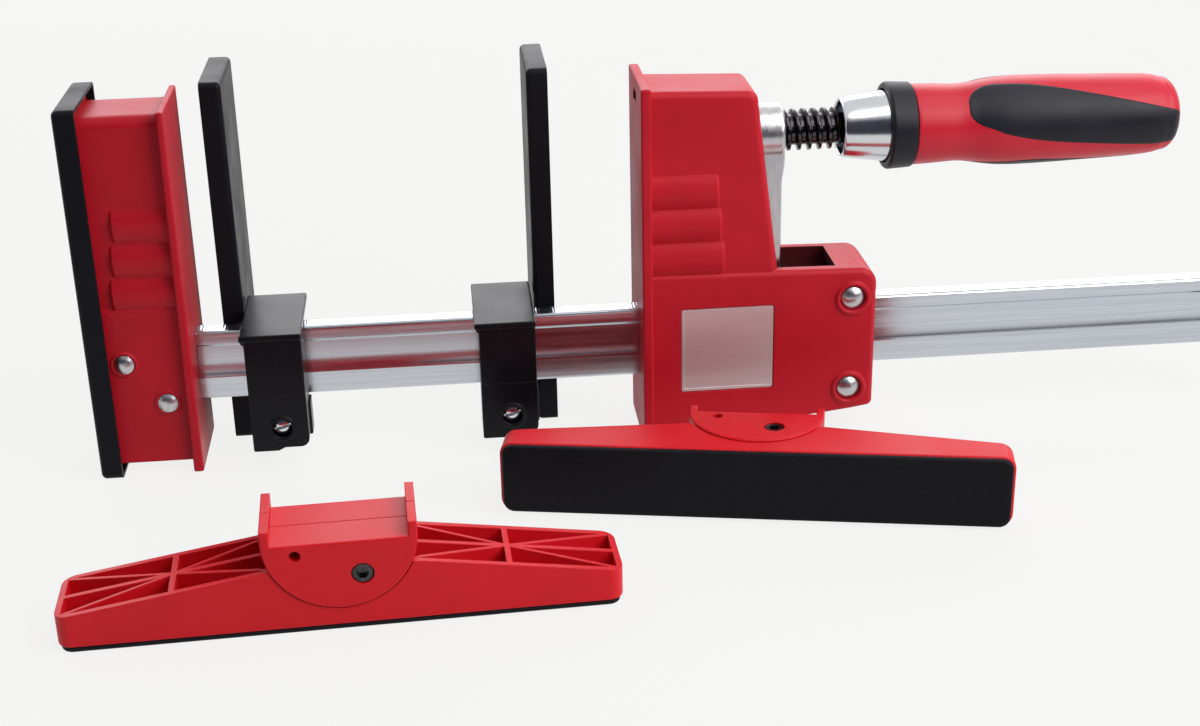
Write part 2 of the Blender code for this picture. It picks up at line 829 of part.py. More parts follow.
def spindle_solid(front, back):
    # Right-hand thread along X between two round ends given as (along, radius) pairs
    steps = thread_turn_steps
    total = thread_turns * steps
    rise = thread_flank_steps
    flat = thread_crest_steps
    breaks = [0, rise, rise + flat, 2 * rise + flat]
    columns = [turn * steps + place for turn in range(-1, thread_turns + 1) for place in breaks]
    solid = bmesh.new()
    known = {}

    def point(along, radius, k):
        angle = 2 * pi * k / steps
        return solid.verts.new((along, radius * cos(angle), radius * sin(angle)))

    grid = []
    for k in range(steps):
        row = []
        for column in columns:
            place = min(max(column + k, 0), total)
            if (k, place) not in known:
                radius = thread_root + thread_depth * thread_height(place - k)
                known[(k, place)] = point(thread_front + thread_pitch * place / steps, radius, k)
            row.append(known[(k, place)])
        grid.append(row)
    ends = []
    for profile in (front, back):
        rings = [[point(along, radius, k) for k in range(steps)] for along, radius in profile]
        tip = solid.verts.new((profile[-1][0], 0, 0))
        ends.append((rings, tip))
    for k in range(steps):
        n = (k + 1) % steps
        shift = 0 if n else len(breaks)
        here = grid[k]
        there = grid[n]
        last = len(columns) - 1
        loops = []
        for i in range(last):
            near = min(i + shift, last)
            far = min(i + 1 + shift, last)
            loops.append((here[i], here[i + 1], there[far], there[near]))
        loops += [(here[0], there[i], there[i + 1]) for i in range(shift)]
        for (rings, tip), edge in zip(ends, (0, -1)):
            chain = [[row[edge] for row in grid]] + rings
            loops += [(a[k], b[k], b[n], a[n]) for a, b in zip(chain, chain[1:])]
            loops.append((rings[-1][k], tip, rings[-1][n]))
        for loop in loops:
            corners = list(dict.fromkeys(loop))
            if len(corners) > 2:
                solid.faces.new(corners)
    bmesh.ops.recalc_face_normals(solid, faces=solid.faces)
    return solid


def make_spindle():
    axis = (0, 0, spindle_height)
    plate_front = (
        jaw_opening + jaw_face_thickness + cavity_front_wall + movable_core_front_wall + fit_gap * 2)
    plate_rear = plate_front + thrust_plate_thickness
    washer_front = plate_rear + fit_gap
    washer_rear = washer_front + thrust_washer_thickness
    shoulder = washer_rear + fit_gap
    socket_floor = plate_rear - thrust_socket_depth
    tip = socket_floor + fit_gap
    neck_bore = spindle_neck_radius + bore_gap

    half_width = movable_core_half - movable_core_wall - fit_gap
    half_height = thrust_plate_height / 2
    plate = box((plate_front, plate_rear), (-half_width, half_width), (-half_height, half_height))
    softened(plate, arm_edge, 2)
    socket = turned_rod(socket_floor, plate_rear + cut_margin, neck_bore, 24)
    piece('thrust_plate', moved(cut(plate, [socket]), z=spindle_height), plain_steel, axis)

    washer = turned([
        (washer_front, neck_bore), (washer_front, thrust_washer_radius),
        (washer_rear, thrust_washer_radius), (washer_rear, neck_bore)], 24, closed=True)
    piece('thrust_washer', moved(washer, z=spindle_height), dark_steel, axis)

    front = [
        (thread_front, spindle_core_radius), (shoulder, spindle_core_radius),
        (shoulder, spindle_neck_radius), (tip, spindle_neck_radius)]
    back = [(thread_rear, spindle_core_radius), (tang_end, spindle_core_radius)]
    spindle = spindle_solid(front, back)
    piece('spindle', moved(spindle, z=spindle_height), dark_steel, axis)

    lip = ferrule_front_radius - ferrule_lip
    recess = ferrule_front + ferrule_recess
    ferrule = turned([
        (ferrule_front, lip), (ferrule_front, ferrule_front_radius),
        (ferrule_rear, ferrule_rear_radius), (ferrule_rear, tang_bore),
        (recess, tang_bore), (recess, lip)], handle_sides, closed=True)
    piece('ferrule', moved(ferrule, z=spindle_height), chrome_steel, axis)

    mouth = ferrule_rear_radius + bore_gap
    spigot_bore = handle_spigot_radius + bore_gap
    step = ferrule_rear + fit_gap
    collar = turned([
        (collar_front, mouth), (collar_front, collar_radius - ferrule_lip),
        (collar_front + ferrule_lip / 2, collar_radius - ferrule_lip / 3),
        (collar_front + ferrule_lip * 2, collar_radius),
        (collar_rear, collar_rear_radius), (collar_rear, spigot_bore),
        (step, spigot_bore), (step, mouth)], handle_sides, closed=True)
    piece('handle_collar', moved(collar, z=spindle_height), black_rubber, axis)


def handle_radius_at(share):
    table = handle_profile_shares
    for (low, r_low), (high, r_high) in zip(table, table[1:]):
        if share <= high:
            return handle_radius * (r_low + (r_high - r_low) * (share - low) / (high - low))
    return 0.0


def inlay_patch(shares, side, spread, low, high):
    # Curved patch of the grip on one side (1) or mirrored (-1); spread widens its outline,
    # low and high set its depth
    solid = bmesh.new()
    layers = []
    count = len(shares)
    for depth in (low, high):
        rows = []
        for i, (share, middle, half) in enumerate(shares):
            along = handle_front + handle_length * share
            if i == 0:
                along -= spread
            if i == count - 1:
                along += spread
            radius = handle_radius_at((along - handle_front) / handle_length)
            wide = radians(half) + spread / max(radius, handle_radius / 3)
            row = []
            for k in range(inlay_steps + 1):
                angle = radians(middle) + wide * (2 * k / inlay_steps - 1)
                row.append(solid.verts.new((
                    along, -side * (radius + depth) * cos(angle), (radius + depth) * sin(angle))))
            rows.append(row)
        layers.append(rows)
    last = inlay_steps
    for rows in layers:
        for near, far in zip(rows, rows[1:]):
            for k in range(last):
                solid.faces.new((near[k], near[k + 1], far[k + 1], far[k]))
    under, over = layers
    for i in range(count - 1):
        for k in (0, last):
            solid.faces.new((under[i][k], under[i + 1][k], over[i + 1][k], over[i][k]))
    for i in (0, count - 1):
        for k in range(last):
            solid.faces.new((under[i][k], under[i][k + 1], over[i][k + 1], over[i][k]))
    bmesh.ops.recalc_face_normals(solid, faces=solid.faces)
    return moved(solid, z=spindle_height)


def make_handle():
    axis = (0, 0, spindle_height)
    spigot_front = ferrule_rear + fit_gap * 2
    bore_end = tang_end + fit_gap
    profile = [(bore_end, 0), (bore_end, tang_bore), (spigot_front, tang_bore),
               (spigot_front, handle_spigot_radius), (handle_front, handle_spigot_radius)]
    profile += [
        (handle_front + handle_length * along, handle_radius * radius)
        for along, radius in handle_profile_shares]
    body = moved(turned(profile, handle_sides), z=spindle_height)
    inlays = [(inlay_shares, 1), (inlay_shares, -1), (foot_inlay_shares, 1)]
    beds = [
        inlay_patch(shares, side, fit_gap, -inlay_depth - fit_gap, inlay_depth)
        for shares, side in inlays]
    piece('handle_body', cut(body, beds), red_plastic, axis)
    for number, (shares, side) in enumerate(inlays):
        patch = inlay_patch(shares, side, 0.0, -inlay_depth, inlay_rise)
        piece('grip_inlay_' + 'abc'[number], patch, black_rubber, axis)


def make_saddle(name, place):
    # Built with its left end at X = 0, then moved along the rail
    leg_start = saddle_overhang
    leg_end = saddle_length - saddle_leg_step
    top = rail_top + saddle_rise
    under_plate = top - saddle_plate
    back_face = slot_half + saddle_back_thickness
    plate = box((0, saddle_length), (-saddle_half_width, saddle_half_width), (under_plate, top))
    softened(plate, saddle_edge, 2)
    spine = box(
        (leg_start + saddle_edge, saddle_length - saddle_corner),
        (-saddle_front / 2, slot_half + saddle_back_thickness / 2), (slot_top, under_plate + saddle_edge))
    tab = leg_start + saddle_tab_length
    foot = rail_underside - saddle_drop
    leg_top = under_plate + saddle_edge * 2
    front_leg = prism(
        rounded([(leg_start, foot - saddle_tab_drop), (tab, foot - saddle_tab_drop),
                 (tab + saddle_tab_drop * 2, foot), (leg_end, foot),
                 (leg_end, leg_top), (leg_start, leg_top)],
                [saddle_edge, 0, 0, saddle_corner, 0, 0], 3),
        -saddle_front, -slot_half, 'Y')
    softened(front_leg, saddle_edge, 1, lambda p: (
        p.y < saddle_edge - saddle_front and p.z < under_plate))
    ledge = box(
        (leg_start - cut_margin, saddle_length + cut_margin),
        (-saddle_front - cut_margin, saddle_ledge_depth - saddle_front),
        (-cut_margin, rail_underside + saddle_ledge_rise))
    back_start = leg_start + saddle_back_inset
    back_leg = box(
        (back_start, back_start + saddle_back_length), (slot_half, back_face),
        (rail_underside - saddle_back_drop, leg_top))
    shape = joined(plate, [spine, front_leg, back_leg])
    along = leg_start + saddle_screw_along
    height = rail_underside - saddle_screw_drop
    hole = moved(aimed(turned_rod(
        -saddle_front - cut_margin, saddle_hole_depth - saddle_front,
        saddle_head_radius + saddle_head_room, 24), 'Y'), x=along, z=height)
    screw_bore = saddle_screw_radius + bore_gap
    bore = moved(aimed(turned_rod(
        -saddle_front, back_face + cut_margin, screw_bore, 16), 'Y'), x=along, z=height)
    nest_floor = back_face - nut_thickness - fit_gap
    nest = prism(
        circle((along, height), (nut_half_width + fit_gap) / cos(pi / 6), 6),
        nest_floor, back_face + cut_margin, 'Y')
    piece(name, moved(cut(shape, [ledge, hole, bore, nest]), x=place), black_plastic)

    head_front = saddle_head_sink - saddle_front
    head_back = head_front + saddle_head_length
    edge = saddle_head_radius / 6
    screw = aimed(turned([
        (head_front, 0), (head_front, saddle_head_radius - edge),
        (head_front + edge, saddle_head_radius), (head_back, saddle_head_radius),
        (head_back, saddle_screw_radius), (back_face, saddle_screw_radius), (back_face, 0)], 20), 'Y')
    slot = box(
        (-saddle_slot_width / 2, saddle_slot_width / 2),
        (head_front - cut_margin, head_front + saddle_slot_depth),
        (-saddle_head_radius * 2, saddle_head_radius * 2))
    slot.transform(Matrix.Rotation(radians(saddle_slot_turn), 4, 'Y'))
    piece(name + '_screw', moved(cut(screw, [slot]), x=place + along, z=height), zinc_steel)

    nut_front = nest_floor + fit_gap
    nut = prism(
        circle((0, 0), nut_half_width / cos(pi / 6), 6), nut_front, nut_front + nut_thickness, 'Y')
    nut_bore = aimed(turned_rod(0, back_face + cut_margin, screw_bore, 16), 'Y')
    piece(name + '_nut', moved(cut(nut, [nut_bore]), x=place + along, z=height), zinc_steel)


def clipped(outline, point, normal):
    # Keeps the part of a convex outline that lies on the normal's side
    kept = []
    count = len(outline)
    for i in range(count):
        a = Vector(outline[i])
        b = Vector(outline[(i + 1) % count])
        da = (a - Vector(point)).dot(normal)
        db = (b - Vector(point)).dot(normal)
        if da >= 0:
            kept.append(tuple(a))
        if da * db < 0:
            kept.append(tuple(a + (b - a) * (da / (da - db))))
    return kept


def adapter_pockets():
    # Triangular pockets between the walls, the ribs and the diagonals of the bar
    half_length = adapter_length / 2
    node = half_length - adapter_rib_from_end
    inner = half_length - adapter_wall
    wall = adapter_width / 2 - adapter_wall
    pockets = []
    for side in (-1, 1):
        for across in (-1, 1):
            for low, high, far in ((adapter_pocket_start, node, -1), (node, inner, 1)):
                cell = [(low, 0), (high, 0), (high, wall), (low, wall)]
                start = high if far < 0 else low
                stop = low if far < 0 else high
                if far < 0:
                    cell = clipped(cell, (high - adapter_rib / 2, 0), Vector((-1, 0)))
                else:
                    cell = clipped(cell, (low + adapter_rib / 2, 0), Vector((1, 0)))
                cell = clipped(cell, (0, adapter_rib / 2), Vector((0, 1)))
                along = Vector((stop - start, wall)).normalized()
                normal = Vector((-along.y, along.x))
                for sign in (-1, 1):
                    offset = normal * (sign * adapter_diagonal_rib / 2)
                    part = clipped(cell, (start + offset.x, offset.y), normal * sign)
                    if len(part) < 3:
                        continue
                    flipped = [(side * u, across * v) for u, v in part]
                    pockets.append(flipped)
    return pockets


def placed(solid, where):
    solid.transform(where)
    return solid


def make_adapter(side, where, swing_origin):
    # Bar lies along local X, its width along Y, pad underneath at Z = 0
    half = adapter_length / 2
    foot = adapter_pad_thickness + fit_gap
    middle = adapter_mid_length / 2
    bar = prism(
        [(-half, foot), (half, foot), (half, adapter_end_height), (middle, adapter_mid_height),
         (-middle, adapter_mid_height), (-half, adapter_end_height)],
        -adapter_width / 2, adapter_width / 2, 'Y')
    softened(bar, adapter_corner, 3, lambda p: (
        abs(p.x) > half - adapter_wall / 2 and abs(p.y) > adapter_wall))
    cutters = []
    for outline in adapter_pockets():
        cutters.append(prism(outline, foot + adapter_floor, adapter_mid_height + cut_margin, 'Z'))
    seat_radius = hub_radius + hub_seat_gap
    centre = (0, hub_height)
    seat = prism(circle(centre, seat_radius, 48), -adapter_width, adapter_width, 'Y')
    bar = cut(bar, cutters + [seat])
    reach = seat_radius + adapter_floor / 2
    tongue = prism(
        arc(centre, reach, -90 - tongue_half_angle, -90 + tongue_half_angle, 14)
        + arc(centre, tongue_inner_radius, -90 + tongue_half_angle, -90 - tongue_half_angle, 10),
        -tongue_half_width, tongue_half_width, 'Y')
    room = hub_screw_radius + bore_gap
    travel = hub_swing + hub_swing_spare + degrees(asin(room / hub_screw_reach))
    low = -90 + hub_screw_angle - travel
    high = -90 + hub_screw_angle + travel
    guide = prism(
        arc(centre, hub_screw_reach + room, low, high, 8)
        + arc(centre, hub_screw_reach - room, high, low, 8),
        -tongue_half_width * 2, tongue_half_width * 2, 'Y')
    bar = joined(bar, [cut(tongue, [guide])])
    piece(side + '_adapter_bar', placed(bar, where), red_plastic)

    pad_half = half - adapter_pad_inset
    pad_side = adapter_width / 2 - adapter_pad_side_inset
    pad = prism(
        rounded([(-pad_half, -pad_side), (pad_half, -pad_side), (pad_half, pad_side), (-pad_half, pad_side)],
                adapter_corner - adapter_pad_side_inset, 4),
        0, adapter_pad_thickness, 'Z')
    piece(side + '_adapter_pad', placed(pad, where), black_rubber)

    ear_inner = hub_radius - hub_ear_thickness
    floor_height = hub_height - hub_floor_drop
    ear_top = hub_height + hub_ear_rise
    sweep = tongue_half_angle + hub_swing + hub_swing_spare
    for name, sign in (('_hub_front', -1), ('_hub_back', 1)):
        outline = arc(centre, hub_radius, -180, 0, 22) + [
            (hub_radius, ear_top), (ear_inner, ear_top), (ear_inner, floor_height),
            (-ear_inner, floor_height), (-ear_inner, ear_top), (-hub_radius, ear_top)]
        outer = sign * hub_width / 2
        inner = sign * fit_gap / 2
        shape = prism(outline, min(outer, inner), max(outer, inner), 'Y')
        softened(shape, hub_edge, 1, lambda p: abs(p.y) > hub_width / 2 - hub_edge)
        groove = prism(
            arc(centre, hub_radius + cut_margin, -90 - sweep, -90 + sweep, 12)
            + arc(centre, tongue_inner_radius - fit_gap * 2, -90 + sweep, -90 - sweep, 10),
            -tongue_half_width - fit_gap, tongue_half_width + fit_gap, 'Y')
        tools = [groove]
        pin = radians(hub_screw_angle - 90)
        screw_at = (hub_screw_reach * cos(pin), hub_height + hub_screw_reach * sin(pin))
        tools.append(prism(
            circle(screw_at, hub_screw_radius + bore_gap, 12), -hub_width, hub_width, 'Y'))
        if sign < 0:
            tools.append(prism(
                circle(screw_at, hub_screw_head_radius + bore_gap, 18),
                -hub_width, hub_screw_head_length - hub_width / 2, 'Y'))
            tools.append(prism(
                circle((-hub_hole_along, hub_height - hub_hole_drop), hub_hole_radius, 16),
                -hub_width, 0, 'Y'))
        piece(side + '_adapter' + name, placed(cut(shape, tools), where), red_plastic, swing_origin)

    head_front = fit_gap - hub_width / 2
    head_back = head_front + hub_screw_head_length - fit_gap * 2
    tip = hub_width / 2 - hub_edge
    screw = aimed(turned([
        (head_front, 0), (head_front, hub_screw_head_radius), (head_back, hub_screw_head_radius),
        (head_back, hub_screw_radius), (tip, hub_screw_radius), (tip, 0)], 18), 'Y')
    socket = prism(
        circle((0, 0), hub_screw_socket_radius, 6),
        head_front - cut_margin, head_front + hub_screw_socket_depth, 'Y')
    screw = moved(cut(screw, [socket]), x=screw_at[0], z=screw_at[1])
    piece(side + '_adapter_screw', placed(screw, where), dark_steel, swing_origin)


def make_adapters():
    flat = (Matrix.Translation((left_adapter_along, -left_adapter_before, 0))
            @ Matrix.Rotation(radians(left_adapter_turn), 4, 'Z'))
    make_adapter('left', flat, flat @ Vector((0, 0, hub_height)))
    # Lying on its long side: the pad faces the front and local Z points back
    lying = (Matrix.Translation((right_adapter_along, -right_adapter_before, hub_width / 2))
             @ Matrix.Rotation(radians(right_adapter_turn), 4, 'Z')
             @ Matrix.Rotation(-pi / 2, 4, 'X'))
    make_adapter('right', lying, lying @ Vector((0, 0, hub_height)))


def rest_on_centre():
    # Puts the middle of the footprint at the origin
    corners = []
    for item in made:
        for vertex in item.data.vertices:
            corners.append(item.location + vertex.co)
    low = Vector([min(c[i] for c in corners) for i in range(3)])
    high = Vector([max(c[i] for c in corners) for i in range(3)])
    shift = Vector(((low.x + high.x) / 2, (low.y + high.y) / 2, low.z))
    for item in made:
        item.location = item.location - shift


for old in list(bpy.data.objects):
    bpy.data.objects.remove(old)

make_rail()
make_fixed_jaw()
make_covers()
make_movable_jaw()
make_arm()
make_spindle()
make_handle()
make_saddle('saddle_left', left_saddle_place)
make_saddle('saddle_right', right_saddle_place)
make_adapters()
rest_on_centre()
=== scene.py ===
import json
from math import asin, cos, degrees, pi, radians, sin, tan

import bmesh
import bpy
from mathutils import Matrix, Vector


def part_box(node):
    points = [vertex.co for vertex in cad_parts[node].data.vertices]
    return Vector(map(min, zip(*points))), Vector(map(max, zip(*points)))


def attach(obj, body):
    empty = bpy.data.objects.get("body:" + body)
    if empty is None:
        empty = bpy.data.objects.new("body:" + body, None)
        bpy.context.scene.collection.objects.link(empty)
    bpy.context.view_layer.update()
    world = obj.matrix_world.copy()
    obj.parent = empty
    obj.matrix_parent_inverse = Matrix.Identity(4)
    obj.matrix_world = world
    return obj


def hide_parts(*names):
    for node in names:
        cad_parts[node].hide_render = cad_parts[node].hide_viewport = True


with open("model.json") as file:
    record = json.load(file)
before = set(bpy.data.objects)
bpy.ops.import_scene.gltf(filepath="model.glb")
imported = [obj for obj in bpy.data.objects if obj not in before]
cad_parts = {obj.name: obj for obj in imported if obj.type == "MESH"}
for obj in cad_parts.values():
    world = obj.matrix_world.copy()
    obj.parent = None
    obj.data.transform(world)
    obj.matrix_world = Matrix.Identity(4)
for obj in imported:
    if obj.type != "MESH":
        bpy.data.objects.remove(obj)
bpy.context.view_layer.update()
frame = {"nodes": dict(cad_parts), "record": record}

scene = bpy.context.scene
print("frame loaded with", len(frame["nodes"]), "nodes")

# Pieces are drawn in millimetres: X along the rail from the fixed jaw's clamping
# face, Y = 0 in the middle of the rail, Z = 0 on the floor. toRow puts them in place.
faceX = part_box("fixed_jaw_housing")[1].x
railLow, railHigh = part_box("rail")
railY = (railLow.y + railHigh.y) / 2
toRow = Matrix.Translation((faceX, railY, 0)) @ Matrix.Scale(0.001, 4)


def slab(outline, low, high, axis="Y"):
    # Closed outline run along one axis
    spot = {
        "X": lambda a, b, h: (h, a, b),
        "Y": lambda a, b, h: (a, h, b),
        "Z": lambda a, b, h: (a, b, h)}[axis]
    solid = bmesh.new()
    first = [solid.verts.new(spot(a, b, low)) for a, b in outline]
    last = [solid.verts.new(spot(a, b, high)) for a, b in outline]
    solid.faces.new(first)
    solid.faces.new(last)
    for i in range(len(outline)):
        j = (i + 1) % len(outline)
        solid.faces.new((first[i], first[j], last[j], last[i]))
    bmesh.ops.recalc_face_normals(solid, faces=solid.faces)
    return solid


def oblong(x, y):
    return [(x[0], y[0]), (x[1], y[0]), (x[1], y[1]), (x[0], y[1])]


def block(x, y, z):
    return slab(oblong(x, y), z[0], z[1], "Z")


def arcPoints(centre, radius, start, end, steps):
    turns = [radians(start + (end - start) * k / steps) for k in range(steps + 1)]
    return [(centre[0] + radius * cos(t), centre[1] + radius * sin(t)) for t in turns]


def ringPoints(centre, radius, sides):
    return arcPoints(centre, radius, 0, 360 - 360 / sides, sides - 1)


def roundCorners(outline, radii, steps=8):
    # Arc in place of each corner that has a radius
    done = []
    for i, corner in enumerate(outline):
        radius = radii[i] if isinstance(radii, (list, tuple)) else radii
        here = Vector(corner)
        back = (Vector(outline[i - 1]) - here).normalized()
        ahead = (Vector(outline[(i + 1) % len(outline)]) - here).normalized()
        half = back.angle(ahead) / 2
        if radius == 0:
            done.append(tuple(here))
            continue
        centre = here + (back + ahead).normalized() * (radius / sin(half))
        start = here + back * (radius / tan(half)) - centre
        end = here + ahead * (radius / tan(half)) - centre
        turn = start.angle(end)
        if start.x * end.y - start.y * end.x < 0:
            turn = -turn
        for k in range(steps + 1):
            t = turn * k / steps
            done.append((centre.x + start.x * cos(t) - start.y * sin(t),
                         centre.y + start.x * sin(t) + start.y * cos(t)))
    return done


def lathe(profile, sides=64, closed=False):
    # Turned about X from (along, radius) pairs
    solid = bmesh.new()
    rings = []
    for along, radius in profile:
        turns = [2 * pi * k / sides for k in range(1 if radius == 0 else sides)]
        rings.append([solid.verts.new((along, radius * cos(t), radius * sin(t))) for t in turns])
    pairs = list(zip(rings, rings[1:])) + ([(rings[-1], rings[0])] if closed else [])
    for near, far in pairs:
        for k in range(sides):
            n = (k + 1) % sides
            if len(near) == 1:
                solid.faces.new((near[0], far[k], far[n]))
            elif len(far) == 1:
                solid.faces.new((near[k], near[n], far[0]))
            else:
                solid.faces.new((near[k], near[n], far[n], far[k]))
    bmesh.ops.recalc_face_normals(solid, faces=solid.faces)
    return solid


def skinned(rings):
    # Solid through rings of points, with a face on each end
    solid = bmesh.new()
    rings = [[solid.verts.new(point) for point in ring] for ring in rings]
    for near, far in zip(rings, rings[1:]):
        for k in range(len(near)):
            n = (k + 1) % len(near)
            solid.faces.new((near[k], near[n], far[n], far[k]))
    solid.faces.new(rings[0])
    solid.faces.new(rings[-1])
    bmesh.ops.recalc_face_normals(solid, faces=solid.faces)
    return solid


def shifted(solid, x=0.0, y=0.0, z=0.0):
    solid.transform(Matrix.Translation((x, y, z)))
    return solid


def acrossRail(solid):
    # Turns a solid made along X so that it runs along Y
    solid.transform(Matrix.Rotation(pi / 2, 4, "Z"))
    return solid


def soften(solid, width, steps=4, wanted=None, keen=40):
    # Rounds the sharp edges, or those of them whose middle is wanted
    edges = []
    for edge in solid.edges:
        if edge.calc_face_angle(0.0) < radians(keen):
            continue
        if wanted is None or wanted((edge.verts[0].co + edge.verts[1].co) / 2):
            edges.append(edge)
    bmesh.ops.bevel(solid, geom=edges, offset=width, segments=steps, profile=0.5,
                    affect="EDGES", clamp_overlap=True)
    return solid


def loose(solid, name):
    mesh = bpy.data.meshes.new(name)
    solid.to_mesh(mesh)
    solid.free()
    item = bpy.data.objects.new(name, mesh)
    scene.collection.objects.link(item)
    return item


def cutBy(solid, *tools):
    item = loose(solid, "work")
    helpers = [loose(tool, "tool") for tool in tools]
    for helper in helpers:
        step = item.modifiers.new("step", "BOOLEAN")
        step.operation = "DIFFERENCE"
        step.solver = "EXACT"
        step.object = helper
    result = bmesh.new()
    result.from_mesh(item.evaluated_get(bpy.context.evaluated_depsgraph_get()).to_mesh())
    for used in [item] + helpers:
        mesh = used.data
        bpy.data.objects.remove(used)
        bpy.data.meshes.remove(mesh)
    bmesh.ops.dissolve_limit(
        result, angle_limit=radians(0.05), verts=result.verts, edges=result.edges)
    return result


def settled(name, shells, finish, body, node, sharp=34.0, place=None):
    # Gathers the shells in one object, shades it, and puts it on its body for its node
    whole = bmesh.new()
    for shell in shells:
        mesh = bpy.data.meshes.new("shell")
        shell.to_mesh(mesh)
        shell.free()
        whole.from_mesh(mesh)
        bpy.data.meshes.remove(mesh)
    whole.transform(toRow @ place if place else toRow)
    item = loose(whole, name)
    item.data.shade_smooth()
    item.data.set_sharp_from_angle(angle=radians(sharp))
    item.data.materials.append(finish)
    even = item.modifiers.new("evenShading", "WEIGHTED_NORMAL")
    even.keep_sharp = True
    even.weight = 60
    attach(item, body)
    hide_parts(node)
    return item


class Wire:
    # A node's output; sums on it add Math nodes
    def __init__(self, finish, socket):
        self.finish = finish
        self.socket = socket

    def sums(self, operation, first, second):
        return self.finish.add("ShaderNodeMath", {"operation": operation}, {0: first, 1: second})

    def __add__(self, other):
        return self.sums("ADD", self, other)

    def __radd__(self, other):
        return self.sums("ADD", other, self)

    def __sub__(self, other):
        return self.sums("SUBTRACT", self, other)

    def __rsub__(self, other):
        return self.sums("SUBTRACT", other, self)

    def __mul__(self, other):
        return self.sums("MULTIPLY", self, other)

    def between(self, low, high):
        # 0 at low, 1 at high, and level beyond them
        return self.finish.add("ShaderNodeMapRange", {"clamp": True},
                               {"Value": self, "From Min": low, "From Max": high})


class Finish:
    def __init__(self, owner):
        # owner is a material or a world
        self.owner = owner
        owner.use_nodes = True
        self.tree = owner.node_tree
        self.tree.nodes.clear()

    def add(self, kind, settings=None, inputs=None, output=0):
        node = self.tree.nodes.new(kind)
        for key, value in (settings or {}).items():
            setattr(node, key, value)
        for key, value in (inputs or {}).items():
            self.feed(node.inputs[key], value)
        return Wire(self, node.outputs[output])

    def feed(self, socket, value):
        if isinstance(value, Wire):
            self.tree.links.new(value.socket, socket)
        elif isinstance(value, (tuple, list)) and len(value) == 3 and socket.type == "RGBA":
            socket.default_value = (*value, 1.0)
        else:
            socket.default_value = value

    def spot(self, stretch=(1.0, 1.0, 1.0)):
        # The piece's own coordinates, in millimetres
        where = self.add("ShaderNodeTexCoord", output="Object")
        return self.add("ShaderNodeVectorMath", {"operation": "MULTIPLY"},
                        {0: where, 1: tuple(1000 * s for s in stretch)})

    def noise(self, where, size, detail=2.0, rough=0.5):
        return self.add("ShaderNodeTexNoise", None,
                        {"Vector": where, "Scale": 1 / size, "Detail": detail, "Roughness": rough})

    def cells(self, where, size):
        return self.add("ShaderNodeTexVoronoi", {"feature": "SMOOTH_F1"},
                        {"Vector": where, "Scale": 1 / size})

    def mixed(self, share, first, second):
        return self.add("ShaderNodeMix", {"data_type": "RGBA"}, {0: share, 6: first, 7: second}, output=2)

    def roundEdge(self, radius):
        # Normal with the edges eased by that many millimetres
        return self.add("ShaderNodeBevel", {"samples": 6}, {"Radius": radius / 1000})

    def edgeMask(self, eased):
        # Near 1 on the edges, 0 on the flats
        flat = self.add("ShaderNodeNewGeometry", output="Normal")
        along = self.add("ShaderNodeVectorMath", {"operation": "DOT_PRODUCT"},
                         {0: eased, 1: flat}, output="Value")
        return (1 - along).between(0.01, 0.20)

    def bump(self, height, strength, reach, normal=None):
        # reach is the height of the bumps in millimetres
        inputs = {"Height": height, "Strength": strength, "Distance": reach / 1000}
        if normal is not None:
            inputs["Normal"] = normal
        return self.add("ShaderNodeBump", None, inputs)

    def done(self, varying, fixed):
        shader = self.add("ShaderNodeBsdfPrincipled", None, dict(fixed, **varying))
        return self.ended(shader, "ShaderNodeOutputMaterial")

    def ended(self, shader, kind):
        end = self.tree.nodes.new(kind)
        self.tree.links.new(shader.socket, end.inputs["Surface"])
        return self.owner


redPlastic = {
    "colour": (0.53, 0.0075, 0.0205), "deepColour": (0.47, 0.0055, 0.0160),
    "paleWearAndHighlight": (0.70, 0.040, 0.055), "roughness": 0.46, "roughnessSpread": 0.10, "grainSize": 0.42,
    "grainDepth": 0.035, "mottleSize": 22.0, "edge": 0.55, "ior": 1.31}
blackPlastic = {
    "colour": (0.0066, 0.0062, 0.0102), "deepColour": (0.0046, 0.0043, 0.0072),
    "paleWearAndHighlight": (0.032, 0.032, 0.040), "roughness": 0.42, "roughnessSpread": 0.12, "grainSize": 0.36,
    "grainDepth": 0.03, "mottleSize": 18.0, "edge": 0.5, "ior": 1.205}
softRubber = {
    "colour": (0.0080, 0.0080, 0.0150), "deepColour": (0.0056, 0.0056, 0.0105),
    "paleWearAndHighlight": (0.020, 0.020, 0.030), "roughness": 0.45, "roughnessSpread": 0.10, "grainSize": 0.30,
    "grainDepth": 0.03, "mottleSize": 14.0, "edge": 0.4, "ior": 1.35}
saddlePlastic = dict(
    blackPlastic, colour=(0.0044, 0.0042, 0.0064), deepColour=(0.003, 0.003, 0.0046), roughness=0.27,
    roughnessSpread=0.10, grainDepth=0.012, ior=1.25)
padRubber = dict(
    softRubber, colour=(0.0046, 0.0045, 0.0072), deepColour=(0.0032, 0.0032, 0.0052),
    paleWearAndHighlight=(0.05, 0.05, 0.06), roughness=0.55, grainSize=0.55, grainDepth=0.06, edge=0.8, ior=1.22)
# Painted shade: a near-black red for the faces inside the rear block's opening and the small hole
paintedShadePlastic = dict(redPlastic, colour=(0.06, 0.003, 0.005), deepColour=(0.03, 0.002, 0.003),
                     paleWearAndHighlight=(0.12, 0.01, 0.014))
handlePlastic = dict(redPlastic, colour=(0.58, 0.012, 0.032), deepColour=(0.52, 0.009, 0.026),
                     roughness=0.37, grainDepth=0.018, grainSize=0.5, ior=1.37)
adapterPlastic = dict(redPlastic, colour=(0.70, 0.008, 0.016), deepColour=(0.64, 0.006, 0.012),
                      roughness=0.42, grainDepth=0.030, ior=1.32)


